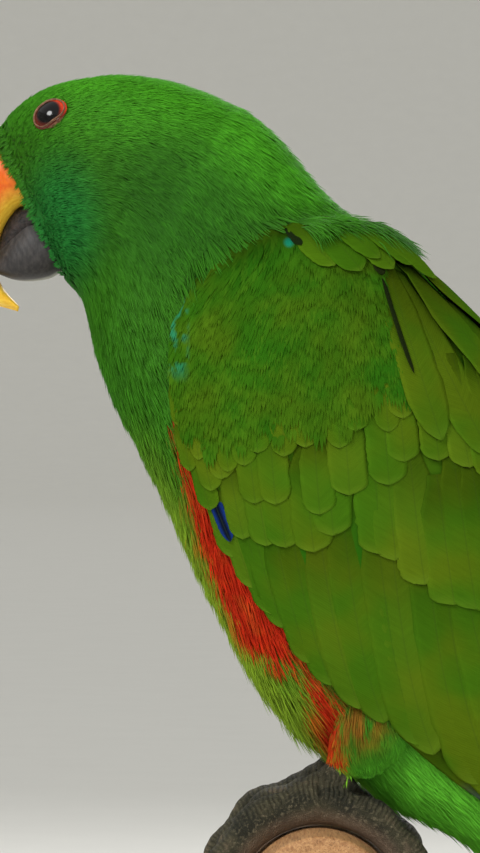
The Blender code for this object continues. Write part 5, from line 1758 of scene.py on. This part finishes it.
def makeBase():
    length, width = stand["base"]
    # profile from the underside to the top: how far in from the edge, and height
    profile = [(2.2, 0.0), (1.0, 0.3), (0.4, 1.2), (0.3, 3.0), (0.3, 7.0)] + arc(0.3, 7.0, 1.6, 1.8, 0.2, 6)
    profile += [(2.6, 8.9), (2.9, 9.3)] + arc(2.9, 9.3, 2.7, 2.7, 0.15, 8)
    inset, height = np.array(profile)[:, :, None].transpose(1, 0, 2)
    turn = np.radians([np.linspace(start, start + 90, 20) for start in (0, 90, 180, 270)])
    cornerX, cornerY = (np.sign(side(turn[:, 10:11])) + 0 * turn for side in (np.cos, np.sin))
    corner = stand["corner"]
    x = cornerX.ravel() * (length / 2 - corner) + np.cos(turn).ravel() * (corner - inset)
    y = cornerY.ravel() * (width / 2 - corner) + np.sin(turn).ravel() * (corner - inset)
    rings = np.stack(np.broadcast_arrays(x, y, height), axis=-1)
    under = rings[:1] * (0.001, 0.001, 1)
    over = [rings[-1:] * (scale, scale, 1) for scale in (0.8, 0.5, 0.25, 0.001)]
    return hardPiece("base_board", np.concatenate([under, rings, *over])[:, ::-1] - tableOrigin, baseFinish())


def makeStand():
    settle(makePerch(), "perch_wood", "stand_perch")
    steel = steelFinish()
    axis = (perchX + tableOrigin[0], 0.0, 0.0)
    r, c, bevel = stand["rod"], stand["collar"], stand["bevel"]
    bottom, top = (corner.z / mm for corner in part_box("stand_rod"))
    shape = [(0.01, bottom - 2), (r, bottom - 2), (r, bottom + 1), (r, top - 1)]
    shape += [(r - 0.4, top - 0.2), (0.01, top - 0.2)]
    settle(turnedPiece("rod", shape, steel, axis), "stand_metal", "stand_rod")
    low, high = (corner.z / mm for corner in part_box("stand_collar"))
    shape = [(r + 0.1, low), (c, low), (c, low + 1.6), (c - 0.5, low + 1.9)]
    shape += [(c - 0.5, low + 2.3), (c, low + 2.6), (c, high - bevel)]
    shape += arc(c, high - bevel, -bevel, bevel, 0.2, 6)
    shape += [(r + 1.2, high), (r + 0.2, high - 0.6), (r + 0.1, high - 1.0), (r + 0.1, low)]
    settle(turnedPiece("collar", shape, steel, axis), "stand_metal", "stand_collar")
    settle(makeBase(), "base_wood", "stand_base")


makeStand()
print("stand done")


# Floor, light and camera

studio = {
    "view": (-0.0485, 0.2119), "high": 0.21325,  # middle of the picture, and its height
    "far": 1.3,  # the camera's distance
    "floor": (14.0, 6.0, 12.0),  # radius of the flat part, radius of its curve and height of the wall
    "air": (0.86, 0.86, 0.84), "airStrength": 0.8,
    # place, size, power and spread of each lamp
    "lamps": {
        "key": ((-0.7, -0.85, 1.0), 0.5, 12, 180),
        "fill": ((0.2, -1.9, 0.5), 0.9, 2.8, 90),
        "back": ((0.3, 0.9, 0.9), 0.7, 9, 180),
    },
    "aim": (0, 0, 0.2),
}


def areaLight(name, place, size, power, spread):
    lamp = bpy.data.lights.new(name, "AREA")
    lamp.shape, lamp.size, lamp.energy, lamp.spread = "DISK", size, power, math.radians(spread)
    made = shown(name, lamp)
    made.location = place
    made.rotation_euler = (Vector(studio["aim"]) - Vector(place)).to_track_quat("-Z", "Y").to_euler()


def makeFloor():
    # a round floor that curves up into a wall
    net = Finish("floor", Roughness=0.9, Specular_IOR_Level=0.2)
    net.done(net.mix(net.noise(net.place(), 0.02), hue(224, 223, 218), hue(228, 227, 222)))
    flat, bend, top = studio["floor"]
    profile = [(0.001, 0.0)] + [(reach, 0.0) for reach in np.linspace(0.3, flat, 6)]
    profile += [(flat + bend * np.sin(a), bend * (1 - np.cos(a))) for a in np.radians(np.linspace(0, 90, 16))]
    profile += [(flat + bend, top)]
    turnedPiece("floor", np.array(profile) / mm, net.material)


def makeStudio():
    world = bpy.data.worlds.new("studio")
    world.use_nodes = True
    air = world.node_tree.nodes["Background"].inputs
    air["Color"].default_value = (*studio["air"], 1)
    air["Strength"].default_value = studio["airStrength"]
    bpy.context.scene.world = world
    makeFloor()
    for name, values in studio["lamps"].items():
        areaLight(name, *values)
    camera = bpy.data.cameras.new("camera")
    camera.sensor_width = 36.0
    camera.lens = camera.sensor_width * studio["far"] / studio["high"]
    camera.clip_start, camera.clip_end = 0.05, 80.0
    made = shown("camera", camera)
    x, z = studio["view"]
    made.location = (x, -studio["far"], z)
    made.rotation_euler = (math.radians(90), 0, 0)
    bpy.context.scene.camera = made
    bpy.context.scene.view_settings.view_transform = "Standard"


makeStudio()
print("studio done")
